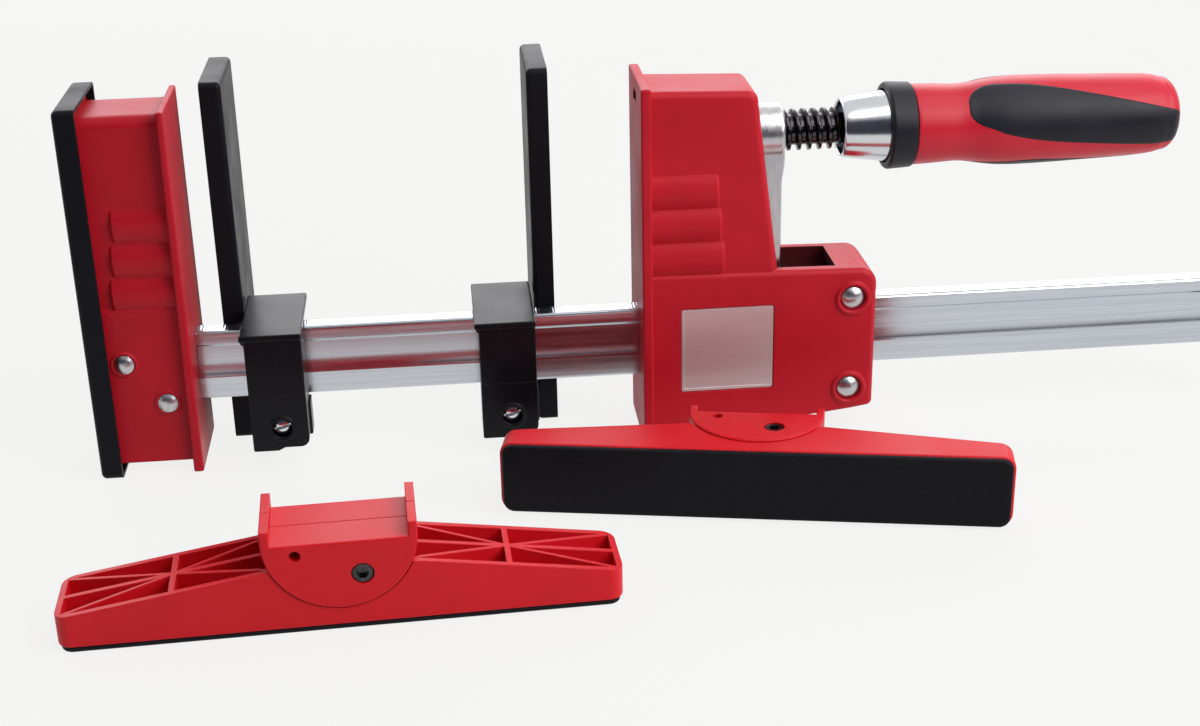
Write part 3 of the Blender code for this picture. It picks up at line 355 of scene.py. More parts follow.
def mouldedFinish(name, look):
    # Moulded plastic or rubber: fine grain, slow mottling, edges paler as rubbing wear and as a painted
    # highlight
    made = Finish(bpy.data.materials.new(name))
    where = made.spot()
    mottle = made.noise(where, look["mottleSize"], 3.0).between(0.30, 0.70)
    grain = made.noise(where, look["grainSize"], 2.0, 0.6)
    pores = made.cells(where, look["grainSize"] * 1.7).between(0.0, 0.9)
    scuffs = made.noise(made.spot((1.0, 1.0, 0.22)), look["mottleSize"] * 0.16, 4.0, 0.65)
    eased = made.roundEdge(look["edge"])
    edge = made.edgeMask(eased) * (0.55 + mottle * 0.45)
    colour = made.mixed(mottle, look["deepColour"], look["colour"])
    colour = made.mixed(grain.between(0.35, 0.75) * 0.10, colour, look["paleWearAndHighlight"])
    # Edges mixed towards the pale colour: rubbing wear together with a painted highlight along the rounded
    # edges
    colour = made.mixed(edge * 0.6, colour, look["paleWearAndHighlight"])
    rough = look["roughness"] + (mottle - 0.5) * look["roughnessSpread"] + (grain - 0.5) * 0.10
    rough = rough + scuffs.between(0.58, 0.80) * 0.05
    normal = made.bump(grain * 0.7 + pores * 0.3, 0.9, look["grainDepth"], eased)
    return made.done({"Base Color": colour, "Roughness": rough.between(0.0, 1.0), "Normal": normal},
                     {"IOR": look["ior"]})


zincSteel = {
    "colour": (0.80, 0.81, 0.83), "dullColour": (0.64, 0.66, 0.69), "roughness": 0.17,
    "streakRoughness": 0.12, "streakSize": 0.35, "streakLength": 40.0, "streakDepth": 0.0025,
    "spangleSize": 1.4, "spangleLength": 120.0, "edge": 0.3}
railSteel = dict(zincSteel, colour=(0.62, 0.655, 0.70), dullColour=(0.48, 0.51, 0.56), roughness=0.20)
# Painted shade in the valleys of the rail's teeth along the top's back edge
railToothShade = {"pitch": 1.25, "width": 0.30, "back": (1.2, 2.4), "height": (53.0, 53.3),
             "colour": (0.16, 0.16, 0.18)}
armSteel = dict(zincSteel, colour=(0.66, 0.65, 0.67), dullColour=(0.46, 0.45, 0.47), roughness=0.30,
                streakLength=6.0, streakSize=0.5, spangleSize=2.4, spangleLength=5.0)
plainSteel = dict(zincSteel, colour=(0.60, 0.60, 0.61), dullColour=(0.46, 0.45, 0.46), roughness=0.30,
                  streakLength=2.0, streakSize=0.4, spangleSize=1.6, spangleLength=1.6, streakDepth=0.010)
chromeSteel = dict(zincSteel, colour=(0.66, 0.68, 0.71), dullColour=(0.60, 0.62, 0.65), roughness=0.18,
                   streakRoughness=0.06, streakLength=0.6, streakSize=0.6, streakDepth=0.002,
                   spangleSize=7.0, spangleLength=7.0)
screwSteel = dict(zincSteel, streakLength=0.8, streakSize=0.4, spangleSize=2.0, spangleLength=2.0)
darkSteel = dict(zincSteel, colour=(0.085, 0.082, 0.085), dullColour=(0.030, 0.028, 0.031), roughness=0.15,
                 streakRoughness=0.20, streakLength=1.2, streakSize=0.5, streakDepth=0.006, spangleSize=2.0,
                 spangleLength=2.0)


def metalFinish(name, look, along=0, toothShade=None):
    # Drawn or plated metal: streaks along one axis, slow clouding, edges rubbed bright
    made = Finish(bpy.data.materials.new(name))
    stretch = [1.0, 1.0, 1.0]
    stretch[along] = look["streakSize"] / look["streakLength"]
    where = made.spot()
    streaks = made.noise(made.spot(tuple(stretch)), look["streakSize"], 3.0, 0.6)
    stretch[along] = look["spangleSize"] / look["spangleLength"]
    cloud = made.noise(made.spot(tuple(stretch)), look["spangleSize"], 3.0, 0.55).between(0.30, 0.70)
    fine = made.noise(where, 0.25, 1.0)
    eased = made.roundEdge(look["edge"])
    edge = made.edgeMask(eased)
    colour = made.mixed(cloud * 0.6 + streaks.between(0.40, 0.60) * 0.4, look["dullColour"], look["colour"])
    colour = made.mixed(edge * 0.5, colour, look["colour"])
    if toothShade:
        # Painted shade: dark lines in the valleys of the teeth along the top's back edge
        run, depth, height = [
            made.add("ShaderNodeSeparateXYZ", None, {0: where}, output=axis) for axis in "XYZ"]
        step = made.add("ShaderNodeMath", {"operation": "FRACT"}, {0: run * (1 / toothShade["pitch"])})
        valleyShade = step.between(0.5 - toothShade["width"], 0.5) * (1 - step.between(0.5, 0.5 + toothShade["width"]))
        inside = depth - 1000 * toRow.translation.y
        valleyShade = valleyShade * inside.between(*toothShade["back"]) * height.between(*toothShade["height"])
        colour = made.mixed(valleyShade * 0.8, colour, toothShade["colour"])
    rough = look["roughness"] + (streaks - 0.5) * look["streakRoughness"]
    rough = rough + (cloud - 0.5) * 0.06 - edge * 0.03
    normal = made.bump(streaks * 0.8 + fine * 0.2, 0.8, look["streakDepth"], eased)
    return made.done({"Base Color": colour, "Roughness": rough.between(0.0, 1.0), "Normal": normal},
                     {"Metallic": 1.0})


# Pink tint in the aluminium's colours: a painted reflection of the red parts near it
redReflectionAluminium = {
    "colour": (0.78, 0.70, 0.71), "dullColour": (0.70, 0.62, 0.63), "lineSize": 0.16,
    "lineLength": 30.0, "lineDepth": 0.0015, "edge": 0.2, "roughness": 0.46}


def plateFinish(name, look):
    # Thin bare aluminium, brushed along the rail, its colour tinted pink as a painted reflection of the red
    # parts near it
    made = Finish(bpy.data.materials.new(name))
    drawn = made.spot((look["lineSize"] / look["lineLength"], 1.0, 1.0))
    lines = made.noise(drawn, look["lineSize"], 2.0, 0.7)
    cloud = made.noise(made.spot((0.2, 1.0, 1.0)), 9.0, 2.0).between(0.2, 0.8)
    eased = made.roundEdge(look["edge"])
    colour = made.mixed(lines.between(0.3, 0.7) * 0.6 + cloud * 0.4, look["dullColour"], look["colour"])
    rough = look["roughness"] + (lines - 0.5) * 0.14 + (cloud - 0.5) * 0.03
    normal = made.bump(lines, 0.6, look["lineDepth"], eased)
    return made.done({"Base Color": colour, "Roughness": rough, "Normal": normal}, {"Metallic": 1.0})


redFinish = mouldedFinish("mouldedRed", redPlastic)
paintedShadeFinish = mouldedFinish("paintedShadeRed", paintedShadePlastic)
adapterFinish = mouldedFinish("adapterRed", adapterPlastic)
handleFinish = mouldedFinish("handleRed", handlePlastic)
blackFinish = mouldedFinish("mouldedBlack", blackPlastic)
saddleFinish = mouldedFinish("saddleBlack", saddlePlastic)
rubberFinish = mouldedFinish("gripRubber", softRubber)
padFinish = mouldedFinish("padRubber", padRubber)
railFinish = metalFinish("zincRail", railSteel, toothShade=railToothShade)
screwFinish = metalFinish("zincScrew", screwSteel)
armFinish = metalFinish("armZinc", armSteel, along=2)
steelFinish = metalFinish("plainSteel", plainSteel, along=1)
chromeFinish = metalFinish("chrome", chromeSteel)
darkFinish = metalFinish("burnishedSteel", darkSteel)
aluminiumFinish = plateFinish("redReflectionAluminium", redReflectionAluminium)
print("finishes made")

# Nodes that stay as they are take the finish of what they are made of
finishOfSlot = {
    "red_plastic": redFinish, "black_plastic": blackFinish, "soft_rubber": rubberFinish,
    "zinc_steel": screwFinish, "dark_steel": darkFinish, "chrome_steel": chromeFinish,
    "plain_steel": steelFinish, "bare_aluminium": aluminiumFinish}
slotOfNode = {part["node"]: part["material_slot"] for part in frame["record"]["subparts"]}
for nodeName, item in frame["nodes"].items():
    item.data.materials.clear()
    item.data.materials.append(finishOfSlot.get(slotOfNode.get(nodeName), steelFinish))
print("carried nodes finished")


rail = {
    "start": -33.0, "end": 434.0, "foot": 25.0, "top": 54.0, "half": 4.5, "topRound": 1.3, "footRound": 1.0,
    "grooveTop": 48.6, "grooveLevel": 40.6, "grooveFoot": 34.2, "grooveDepth": 0.78, "toothPitch": 1.25,
    "toothDepth": 0.10, "backShare": 1.0, "frontShare": 0.25, "toothStart": 2.0, "toothEnd": 418.0,
    "fit": 0.3}


def railPass(low, high):
    # Room for the rail in a piece that it passes through
    room = rail["fit"]
    return block((low, high), (-rail["half"] - room, rail["half"] + room),
                 (rail["foot"] - room, rail["top"] + room))


def railSection(look, bite):
    # The rail's section, with the teeth sunk by bite
    half = look["half"]
    foot = look["foot"]
    top = look["top"]
    footRound = look["footRound"]
    topRound = look["topRound"]
    depth = look["grooveDepth"]
    back = bite * look["backShare"]
    front = bite * look["frontShare"]
    side = [(half * 0.35, foot + front), (half - footRound - 0.2, foot + front)]
    side += arcPoints((half - footRound, foot + footRound), footRound, -75, -15, 2)
    side += [(half, foot + footRound + 0.4), (half, look["grooveFoot"] - 0.15)]
    for share in (0, 0.2, 0.4, 0.6, 0.8, 1):
        side.append((half - depth * (1 - (1 - share) ** 2),
                     look["grooveFoot"] + (look["grooveLevel"] - look["grooveFoot"]) * share))
    side += [(half - depth, look["grooveTop"] - 1.0), (half - depth * 0.55, look["grooveTop"] - 0.35),
             (half, look["grooveTop"]), (half, top - topRound - 0.3)]
    side += arcPoints((half - topRound, top - topRound), topRound, 15, 75, 2)
    side += [(half - topRound - 0.2, top), (half * 0.35, top)]
    section = [(y, z - back if z > top - topRound * 0.6 else z) for y, z in side]
    section += [(-y, z - front if z > top - topRound * 0.2 else z) for y, z in reversed(side)]
    return section


def makeRail(look):
    pitch = look["toothPitch"]
    deep = look["toothDepth"]
    places = [(look["start"], 0.0), (look["toothStart"] - 0.5, 0.0)]
    for k in range(int((look["toothEnd"] - look["toothStart"]) / pitch)):
        x = look["toothStart"] + pitch * k
        places += [(x, 0.0), (x + pitch * 0.28, deep), (x + pitch * 0.52, deep), (x + pitch * 0.80, 0.0)]
    places.append((look["end"], 0.0))
    bar = skinned([[(x, y, z) for y, z in railSection(look, bite)] for x, bite in places])
    settled("railBar", [bar], railFinish, "clamp_frame", "rail", sharp=25)


endClip = {"start": 420.0, "end": 436.6, "half": 7.1, "foot": 22.4, "top": 56.6, "corner": 1.2, "wall": 2.3,
           "lip": (0.6, 2.6), "lipEdge": 0.5}


def makeEndClip(look):
    start = look["start"]
    across = (-look["half"], look["half"])
    height = (look["foot"], look["top"])
    shell = soften(block((start, look["end"]), across, height), look["corner"], 5)
    lip = soften(block([start + reach for reach in look["lip"]], across, height), look["lipEdge"], 3)
    settled("railEndClip", [cutBy(shell, railPass(start - 5, look["end"] - look["wall"])),
                            cutBy(lip, railPass(0, 500))],
            blackFinish, "clamp_frame", "rail_end_clip")


makeRail(rail)
makeEndClip(endClip)
print("rail made")


grip = {"count": 3, "spacing": 13.9, "height": 13.4, "rise": 2.0, "seat": 16.2, "root": 1.4, "end": 1.1}


def gripRibs(look, top, start, length, lean):
    # Rounded ribs on both sides, each lower one longer by the lean
    half = look["height"] / 2
    seat = look["seat"]
    radius = (half ** 2 + look["rise"] ** 2) / (2 * look["rise"])
    sweep = degrees(asin(half / radius))
    ribs = []
    for side in (-1, 1):
        for row in range(look["count"]):
            middle = top - half - look["spacing"] * row
            outline = arcPoints((seat + look["rise"] - radius, middle), radius, -sweep, sweep, 16)
            outline += [(seat - look["root"], middle + half), (seat - look["root"], middle - half)]
            stop = start + length + lean * row
            rib = slab([(side * y, z) for y, z in outline], min(start, stop), max(start, stop), "X")
            soften(rib, look["end"], 4, lambda p: abs(p.x - stop) < 0.01 and abs(p.y) > seat - 0.2)
            ribs.append(rib)
    return ribs


def sideRing(look, x, z, side):
    # Raised ring round a rivet head, open in the middle
    seat = look["seat"]
    edge = look["edge"]
    radius = look["radius"]
    well = look["well"]
    profile = [(seat - 1.0, well), (seat - 1.0, radius), (seat, radius)]
    profile += arcPoints((seat + look["rise"] - edge, radius - edge), edge, 90, -90, 12)
    if radius - 2 * edge > well + 0.1:
        profile += [(seat + 0.12, radius - 2 * edge), (seat + 0.12, well)]
    ring = lathe([(side * along, r) for along, r in profile], 56, closed=True)
    return shifted(acrossRail(ring), x=x, z=z)


def domedRivet(look, seat):
    # Shank with a domed head at each end
    head = look["head"]
    crown = (head ** 2 + look["headRise"] ** 2) / (2 * look["headRise"])
    sweep = asin(head / crown)
    profile = [(seat, look["shank"]), (seat, head - 0.12), (seat + 0.12, head)]
    for k in range(1, 10):
        t = sweep * (1 - k / 10)
        profile.append((seat + look["headRise"] - crown + crown * cos(t), crown * sin(t)))
    profile.append((seat + look["headRise"], 0))
    return acrossRail(lathe([(-along, r) for along, r in reversed(profile)] + profile, 48))


fixedJaw = {
    "half": 17.2, "upperHalf": 16.2, "faceHalf": 21.2, "foot": 4.5, "top": 146.0, "step": 69.8,
    "back": -36.5, "front": -2.0, "rear": -38.3, "rearThick": 3.6, "rearFoot": 1.8, "rearTop": 149.2,
    "faceFoot": 0.5, "faceTop": 148.5, "faceThick": 4.0, "faceTopThick": 2.6, "bodyEdge": 4.5,
    "faceEdge": 0.9, "stepEdge": 0.8, "rearEdge": 0.6,
    "cavity": ((-30.8, -7.2), (-10.3, 10.3), (-10, 138.3)), "passStart": -33.3, "gripTop": 110.1,
    "gripLength": -22.9, "gripLean": -1.6, "headSeat": 17.5,
    "rivets": (("upper", -26.6, 47.1), ("lower", -11.4, 29.8))}
fixedRing = {"seat": 17.2, "rise": 0.6, "radius": 5.25, "well": 2.9, "edge": 0.52}
fixedRivet = {"head": 4.0, "headRise": 1.5, "shank": 2.6}


def rivetBore(x, z, radius=2.9, low=-30, high=30):
    return shifted(acrossRail(lathe([(low, 0), (low, radius), (high, radius), (high, 0)], 40)), x=x, z=z)


def makeFixedJaw(look):
    half = look["half"]
    step = look["step"]
    along = (look["back"], look["front"])
    upper = block(along, (-look["upperHalf"], look["upperHalf"]), (step - 1.0, look["top"]))
    soften(upper, look["bodyEdge"], 9, lambda p: p.z > look["top"] - 0.1 and abs(p.y) > 10)
    lower = block(along, (-half, half), (look["foot"], step))
    soften(lower, look["stepEdge"], 5, lambda p: abs(p.y) > half - 0.2 and p.z > step - 0.1)
    face = slab([(-look["faceThick"], look["faceFoot"]), (0, look["faceFoot"]), (0, look["faceTop"]),
                 (-look["faceTopThick"], look["faceTop"])], -look["faceHalf"], look["faceHalf"])
    soften(face, look["faceEdge"], 5)
    back = block((look["rear"], look["rear"] + look["rearThick"]), (-look["faceHalf"], look["faceHalf"]),
                 (look["rearFoot"], look["rearTop"]))
    shells = [
        cutBy(upper, block(*look["cavity"])),
        cutBy(lower, block(*look["cavity"]), railPass(look["passStart"], 10),
              *[rivetBore(x, z) for tag, x, z in look["rivets"]]),
        cutBy(face, railPass(look["passStart"], 10)),
        soften(back, look["rearEdge"], 4)]
    shells += [sideRing(fixedRing, x, z, side) for tag, x, z in look["rivets"] for side in (-1, 1)]
    shells += gripRibs(grip, look["gripTop"], look["front"], look["gripLength"], look["gripLean"])
    settled("fixedJawHousing", shells, redFinish, "clamp_frame", "fixed_jaw_housing")
    for tag, x, z in look["rivets"]:
        head = shifted(domedRivet(fixedRivet, look["headSeat"]), x=x, z=z)
        settled("fixedRivet_" + tag, [head], steelFinish, "clamp_frame", "fixed_jaw_rivet_" + tag)


cover = {
    "half": 23.0, "height": 151.0, "depth": 8.5, "wall": 1.4, "floor": 1.6, "corner": 2.1, "turnIn": 2.7,
    "insideEdge": 0.7, "gap": 0.3, "loose": (("Left", 9.9, True), ("Right", 136.3, False)), "standAt": 10}


def coverTray(look):
    # Outer face at X = 0, open side at +X
    depth = look["depth"]
    wall = look["wall"]
    shell = block((0, depth), (-look["half"], look["half"]), (0, look["height"]))
    soften(shell, look["turnIn"], 6, lambda p: 0.1 < p.x < depth - 0.1)
    soften(shell, look["corner"], 5, lambda p: p.x < 0.01, keen=60)
    hollow = block((look["floor"], depth + 5), (wall - look["half"], look["half"] - wall),
                   (wall, look["height"] - wall))
    return cutBy(shell, soften(hollow, look["insideEdge"], 4, lambda p: p.x < depth + 4))


def makeCovers(look):
    back = shifted(coverTray(look), x=fixedJaw["rear"] - look["gap"] - look["floor"])
    settled("backCover", [back], blackFinish, "back_cover", "fixed_jaw_back_cover")
    for tag, x, turned in look["loose"]:
        tray = coverTray(look)
        if turned:
            tray.transform(Matrix.Translation((look["depth"], 0, 0)) @ Matrix.Rotation(pi, 4, "Z"))
        settled("looseCover" + tag, [shifted(tray, x=x, y=look["standAt"] + look["half"])], blackFinish,
                "cover_" + tag.lower(), "loose_cover_" + tag.lower())


makeFixedJaw(fixedJaw)
makeCovers(cover)
print("fixed jaw and covers made")

movableJaw = {
    "face": 178.0, "rear": 273.3, "half": 17.2, "upperHalf": 16.2, "faceHalf": 21.2, "faceThick": 4,
    "height": 149.0, "bodyEdge": 3.0, "blockEdge": 2.6, "footEdge": 0.7, "faceEdge": 0.9, "rearCorner": 7.0,
    "footCorner": 2.5, "topCorner": 4.0, "blockFront": 72.7, "blockRear": 70.8, "footFront": 2.0,
    "footRear": 10.6, "lap": 2, "upperLine": ((2, 70.5), (55.2, 70.5), (45.8, 145.0), (2, 146.5)),
    "cavity": ((186.0, 5.8), (269.5, 14.4), (269.5, 67.0), (257.0, 67.0), (257.0, 140.5), (186.0, 140.5)),
    "cavityHalf": 12.0, "pins": (("upper", 263.5, 58.7), ("lower", 262.8, 19.5)), "headSeat": 16.9,
    "wellRadius": 5.2, "window": ((193.6, 231.5), (21.4, 57.6)), "windowFloor": -16.2, "windowCorner": 1.2,
    "hole": ((177.0, 181.5), (-4.0, 4.6), (139.4, 143.8)), "wellFloor": 16.6, "gripTop": 112.9,
    "gripLength": 28.8, "gripLean": 1.2, "sideFrom": 16.5, "roundAbove": 63.6, "roundBehind": 270.7,
    "footBelow": 12.0, "paintedShadeRooms": (
        ((218.0, 269.6), (-12.1, 12.1), (20.0, 69.6)), ((178.1, 181.6), (-5.0, 5.0), (139.0, 144.0)))}
guideRing = {"seat": 17.2, "rise": 1.1, "radius": 7.25, "well": 5.2, "edge": 1.0}
guidePin = {"head": 4.75, "headRise": 1.9, "shank": 2.6}
labelPlate = {"along": (193.9, 231.2), "height": (21.7, 57.3), "corner": 0.9, "back": -16.5, "front": -17.0,
              "edge": 0.12, "rim": 1.2, "rimCorner": 0.5, "rimDepth": 0.12}


def makeMovableJaw(look):
    f = look["face"]
    rear = look["rear"]
    half = look["half"]
    start = f + look["lap"]

    def cavity():
        return slab(look["cavity"], -look["cavityHalf"], look["cavityHalf"])

    upper = slab(roundCorners([(f + x, z) for x, z in look["upperLine"]], [0, 0, look["topCorner"], 0], 10),
                 -look["upperHalf"], look["upperHalf"])
    soften(upper, look["bodyEdge"], 7,
           lambda p: abs(p.y) > 12 and p.z > look["blockFront"] and p.x > f + 4)
    body = slab(roundCorners(
        [(start, look["footFront"]), (rear, look["footRear"]), (rear, look["blockRear"]),
         (start, look["blockFront"])], [0, look["footCorner"], look["rearCorner"], 0], 10), -half, half)
    soften(body, look["blockEdge"], 6, lambda p: abs(p.y) > look["sideFrom"] and (
        p.z > look["roundAbove"] or p.x > look["roundBehind"]))
    soften(body, look["footEdge"], 3, lambda p: abs(p.y) > look["sideFrom"] and (
        p.z < look["footBelow"] and p.x < look["roundBehind"]))
    face = block((f, f + look["faceThick"]), (-look["faceHalf"], look["faceHalf"]), (0, look["height"]))
    soften(face, look["faceEdge"], 5)
    wells = []
    seat = look["wellFloor"]
    for tag, x, z in look["pins"]:
        for low, high in ((-30, -seat), (seat, 30)):
            wells.append(rivetBore(x, z, look["wellRadius"], low, high))
        wells.append(rivetBore(x, z))
    window = slab(roundCorners(oblong(*look["window"]), look["windowCorner"], 6), -30, look["windowFloor"])
    shells = [
        cutBy(upper, cavity()),
        cutBy(body, cavity(), railPass(f - 10, rear + 10), window, *wells),
        cutBy(face, railPass(f - 10, f + 10), block(*look["hole"]))]
    shells += [sideRing(guideRing, x, z, side) for tag, x, z in look["pins"] for side in (-1, 1)]
    shells += gripRibs(grip, look["gripTop"], start, look["gripLength"], look["gripLean"])
    housing = settled("movableJawHousing", shells, redFinish, "movable_jaw", "movable_jaw_housing")
    # Painted shade: a darker finish on the faces inside the rear block's opening and the small hole, where
    # shade falls
    housing.data.materials.append(paintedShadeFinish)
    back = toRow.inverted()
    for side in housing.data.polygons:
        at = back @ side.center
        for room in look["paintedShadeRooms"]:
            if all(low < value < high for value, (low, high) in zip(at, room)):
                side.material_index = 1
    for tag, x, z in look["pins"]:
        head = shifted(domedRivet(guidePin, look["headSeat"]), x=x, z=z)
        settled("guidePin_" + tag, [head], steelFinish, "movable_jaw", "guide_pin_" + tag)


def makeLabelPlate(look):
    front = look["front"]
    shape = slab(roundCorners(oblong(look["along"], look["height"]), look["corner"], 6),
                 front, look["back"])
    soften(shape, look["edge"], 2, lambda p: p.y < front + 0.01)
    inside = [(low + look["rim"], high - look["rim"]) for low, high in (look["along"], look["height"])]
    inner = slab(roundCorners(oblong(*inside), look["rimCorner"], 4), front - 1, front + look["rimDepth"])
    settled("labelPlate", [cutBy(shape, inner)], aluminiumFinish, "movable_jaw", "label_plate")


makeMovableJaw(movableJaw)
makeLabelPlate(labelPlate)
print("movable jaw made")


arm = {
    "heel": 217.0, "front": 224.5, "rear": 235.4, "foot": 17.5, "heelTop": 60.0, "heelEnd": 82.0,
    "top": 130.4, "half": 8.0, "edge": 0.8, "bossRadius": 11.0, "bossEdge": 2.0, "bore": 8.55,
    "bossRise": 1.0, "flareFoot": 105.0, "flare": 9.5}
spindle = {
    "height": 124.9, "radius": 8.25, "depth": 2.2, "pitch": 4.1, "start": 214.0, "end": 259.1,
    "sides": 72, "perTurn": 18, "core": 5.9, "neck": 5.0, "shoulder": 203.0, "tip": 192.9, "tang": 300.3,
    "flank": 0.20, "crest": 0.26, "runIn": 3.0, "runOut": 2.0}


def smooth(share):
    share = min(max(share, 0.0), 1.0)
    return share * share * (3 - 2 * share)


def makeArm(look):
    front = look["front"]
    rear = look["rear"]
    bore = look["bore"]
    rise = look["bossRise"]
    flare = [(rear + rise * smooth(k / 8), look["flareFoot"] + look["flare"] * k / 8) for k in range(9)]
    shape = slab([(look["heel"], look["foot"]), (rear, look["foot"])] + flare
                 + [(rear + rise, look["top"]), (front, look["top"]), (front, look["heelEnd"]),
                    (look["heel"], look["heelTop"])], -look["half"], look["half"])
    soften(shape, look["edge"], 4, lambda p: abs(p.y) > look["half"] - 0.1)
    way = shifted(lathe([(200, 0), (200, bore), (250, bore), (250, 0)], 64), z=spindle["height"])
    shape = cutBy(shape, way, railPass(200, 250))
    low = front - rise
    high = rear + rise
    edge = look["bossEdge"]
    outer = look["bossRadius"] - edge
    ring = [(low, bore + 0.4)] + arcPoints((low + edge, outer), edge, 180, 90, 6)
    ring += arcPoints((high - edge, outer), edge, 90, 0, 6)
    ring += [(high, bore + 0.2), (high - 0.2, bore), (low + 0.4, bore)]
    boss = shifted(lathe(ring, 72, closed=True), z=spindle["height"])
    settled("slideArm", [shape, boss], armFinish, "arm", "slide_arm")


def threadHeight(look, place):
    # Share of the thread's depth at a place counted in pitches
    place = place % 1.0
    flank = look["flank"]
    return min(smooth(place / flank), smooth((2 * flank + look["crest"] - place) / flank))


def makeSpindle(look):
    sides = look["sides"]
    start = look["start"]
    end = look["end"]
    core = look["core"]
    neck = look["neck"]
    step = look["pitch"] / look["perTurn"]
    places = [(look["tip"], neck - 0.5, 0), (look["tip"] + 0.5, neck, 0), (look["shoulder"], neck, 0),
              (look["shoulder"] + 0.01, core, 0)]
    places += [(start + step * k, look["radius"] - look["depth"], look["depth"])
               for k in range(int((end - start) / step) + 1)]
    places += [(end + 0.3, core, 0), (look["tang"], core, 0)]
    rings = []
    for x, radius, depth in places:
        depth *= smooth((x - start) / look["runIn"]) * smooth((end - x) / look["runOut"])
        ring = []
        for k in range(sides):
            t = 2 * pi * k / sides
            r = radius + depth * threadHeight(look, (x - start) / look["pitch"] - k / sides)
            ring.append((x, r * cos(t), r * sin(t)))
        rings.append(ring)
    settled("spindleScrew", [shifted(skinned(rings), z=look["height"])], darkFinish, "spindle_unit",
            "spindle", sharp=60)


ferrule = {
    "front": 259.3, "rear": 281.0, "frontRadius": 11.9, "rearRadius": 14.5, "bore": 10.5, "tangBore": 6.2,
    "recess": 8.5, "bow": 0.10,
    "lip": ((0, -1.1), (0.10, -0.75), (0.35, -0.45), (0.75, -0.22), (1.3, -0.05), (2.1, 0.12), (3.4, 0.33))}
collar = {"front": 277.0, "rear": 287.4, "radius": 17.3, "rearRadius": 16.8, "mouth": 14.8, "bore": 8.3,
          "step": 281.3, "edge": 1.5}
handle = {
    "front": 287.7, "length": 109.0, "radius": 17.6, "sides": 96, "tangEnd": 300.6, "tangBore": 6.2,
    "neckStart": 281.6, "neck": 8.0, "endStart": 0.93, "endRadius": 0.8367, "endBulge": 2.35,
    "endPower": 0.52,
    "profile": (
        (0.0, 0.909), (0.071, 0.895), (0.12, 0.878), (0.159, 0.866), (0.208, 0.885), (0.266, 0.943),
        (0.325, 0.986), (0.389, 1.0), (0.511, 0.99), (0.628, 0.966), (0.746, 0.943), (0.868, 0.909),
        (0.902, 0.884), (0.931, 0.835), (0.958, 0.75)),
    "inlay": (
        (0.185, 36.0, 6.0), (0.193, 37.0, 17.0), (0.213, 38.5, 27.0), (0.252, 39.0, 35.0),
        (0.325, 33.5, 39.5), (0.433, 26.5, 41.3), (0.55, 18.5, 39.6), (0.677, 10.0, 36.6),
        (0.804, 1.5, 33.5), (0.888, -4.0, 31.5), (0.931, -6.5, 30.5), (0.958, -8.0, 30.0),
        (0.976, -9.0, 29.0)),
    "footInlay": (
        (0.20, -90.0, 6.0), (0.208, -90.0, 14.0), (0.23, -90.0, 22.0), (0.27, -90.0, 30.0),
        (0.34, -90.0, 38.0), (0.433, -90.0, 42.0), (0.55, -90.0, 37.0), (0.67, -90.0, 27.5),
        (0.79, -90.0, 19.0), (0.88, -90.0, 14.0), (0.931, -90.0, 11.5), (0.958, -90.0, 10.0),
        (0.976, -90.0, 9.0)),
    "inlayRise": 0.14, "inlaySink": 0.5}


def sharedSlope(one, other):
    # Slope where two stretches meet, level where they turn
    return 0.0 if one * other <= 0 else 2 * one * other / (one + other)


def flowing(table, share):
    # Smooth values at a share of a table of (share, value, ...) rows
    last = len(table) - 1
    i = 0
    while i < last - 1 and share > table[i + 1][0]:
        i += 1
    low, high = table[i], table[i + 1]
    span = high[0] - low[0]
    t = min(max((share - low[0]) / span, 0.0), 1.0)
    result = []
    for n in range(1, len(low)):
        rise = (high[n] - low[n]) / span
        slopeIn = slopeOut = rise
        if i > 0:
            slopeIn = sharedSlope((low[n] - table[i - 1][n]) / (low[0] - table[i - 1][0]), rise)
        if i < last - 1:
            slopeOut = sharedSlope((table[i + 2][n] - high[n]) / (table[i + 2][0] - high[0]), rise)
        result.append(
            low[n] * (2 * t ** 3 - 3 * t ** 2 + 1) + high[n] * (3 * t ** 2 - 2 * t ** 3)
            + slopeIn * span * (t ** 3 - 2 * t ** 2 + t) + slopeOut * span * (t ** 3 - t ** 2))
    return result


def handleRadius(look, share):
    end = look["endStart"]
    if share <= end:
        return look["radius"] * flowing(look["profile"], share)[0]
    # Round end, a little fuller than an ellipse
    fall = max(1 - ((share - end) / (1 - end)) ** look["endBulge"], 0.0)
    return look["radius"] * look["endRadius"] * fall ** look["endPower"]


def makeFerrule(look):
    r = look["frontRadius"]
    front = look["front"]
    profile = [(front + 0.5, look["bore"]), (front, look["bore"] + 0.4)]
    profile += [(front + along, r + out) for along, out in look["lip"]]
    along, r = profile[-1]
    for k in range(1, 9):
        share = k / 8
        profile.append((along + (look["rear"] - along) * share,
                        r + (look["rearRadius"] - r) * share + look["bow"] * sin(pi * share)))
    profile += [(look["rear"], look["tangBore"]), (front + look["recess"], look["tangBore"]),
                (front + look["recess"], look["bore"])]
    piece = shifted(lathe(profile, 96, closed=True), z=spindle["height"])
    settled("ferrule", [piece], chromeFinish, "spindle_unit", "ferrule", sharp=28)


def makeCollar(look):
    front = look["front"]
    rear = look["rear"]
    edge = look["edge"]
    inner = look["radius"] - edge
    outer = look["rearRadius"]
    profile = [(front, look["mouth"]), (front, inner)]
    profile += [(front + edge - edge * cos(radians(a)), inner + edge * sin(radians(a)))
                for a in (15, 35, 55, 75, 90)]
    profile += [(rear - 0.5, outer + 0.02), (rear - 0.1, outer - 0.2), (rear, outer - 0.5),
                (rear, look["bore"]), (look["step"], look["bore"]), (look["step"], look["mouth"])]
    piece = shifted(lathe(profile, 96, closed=True), z=spindle["height"])
    settled("handleCollar", [piece], rubberFinish, "spindle_unit", "handle_collar")


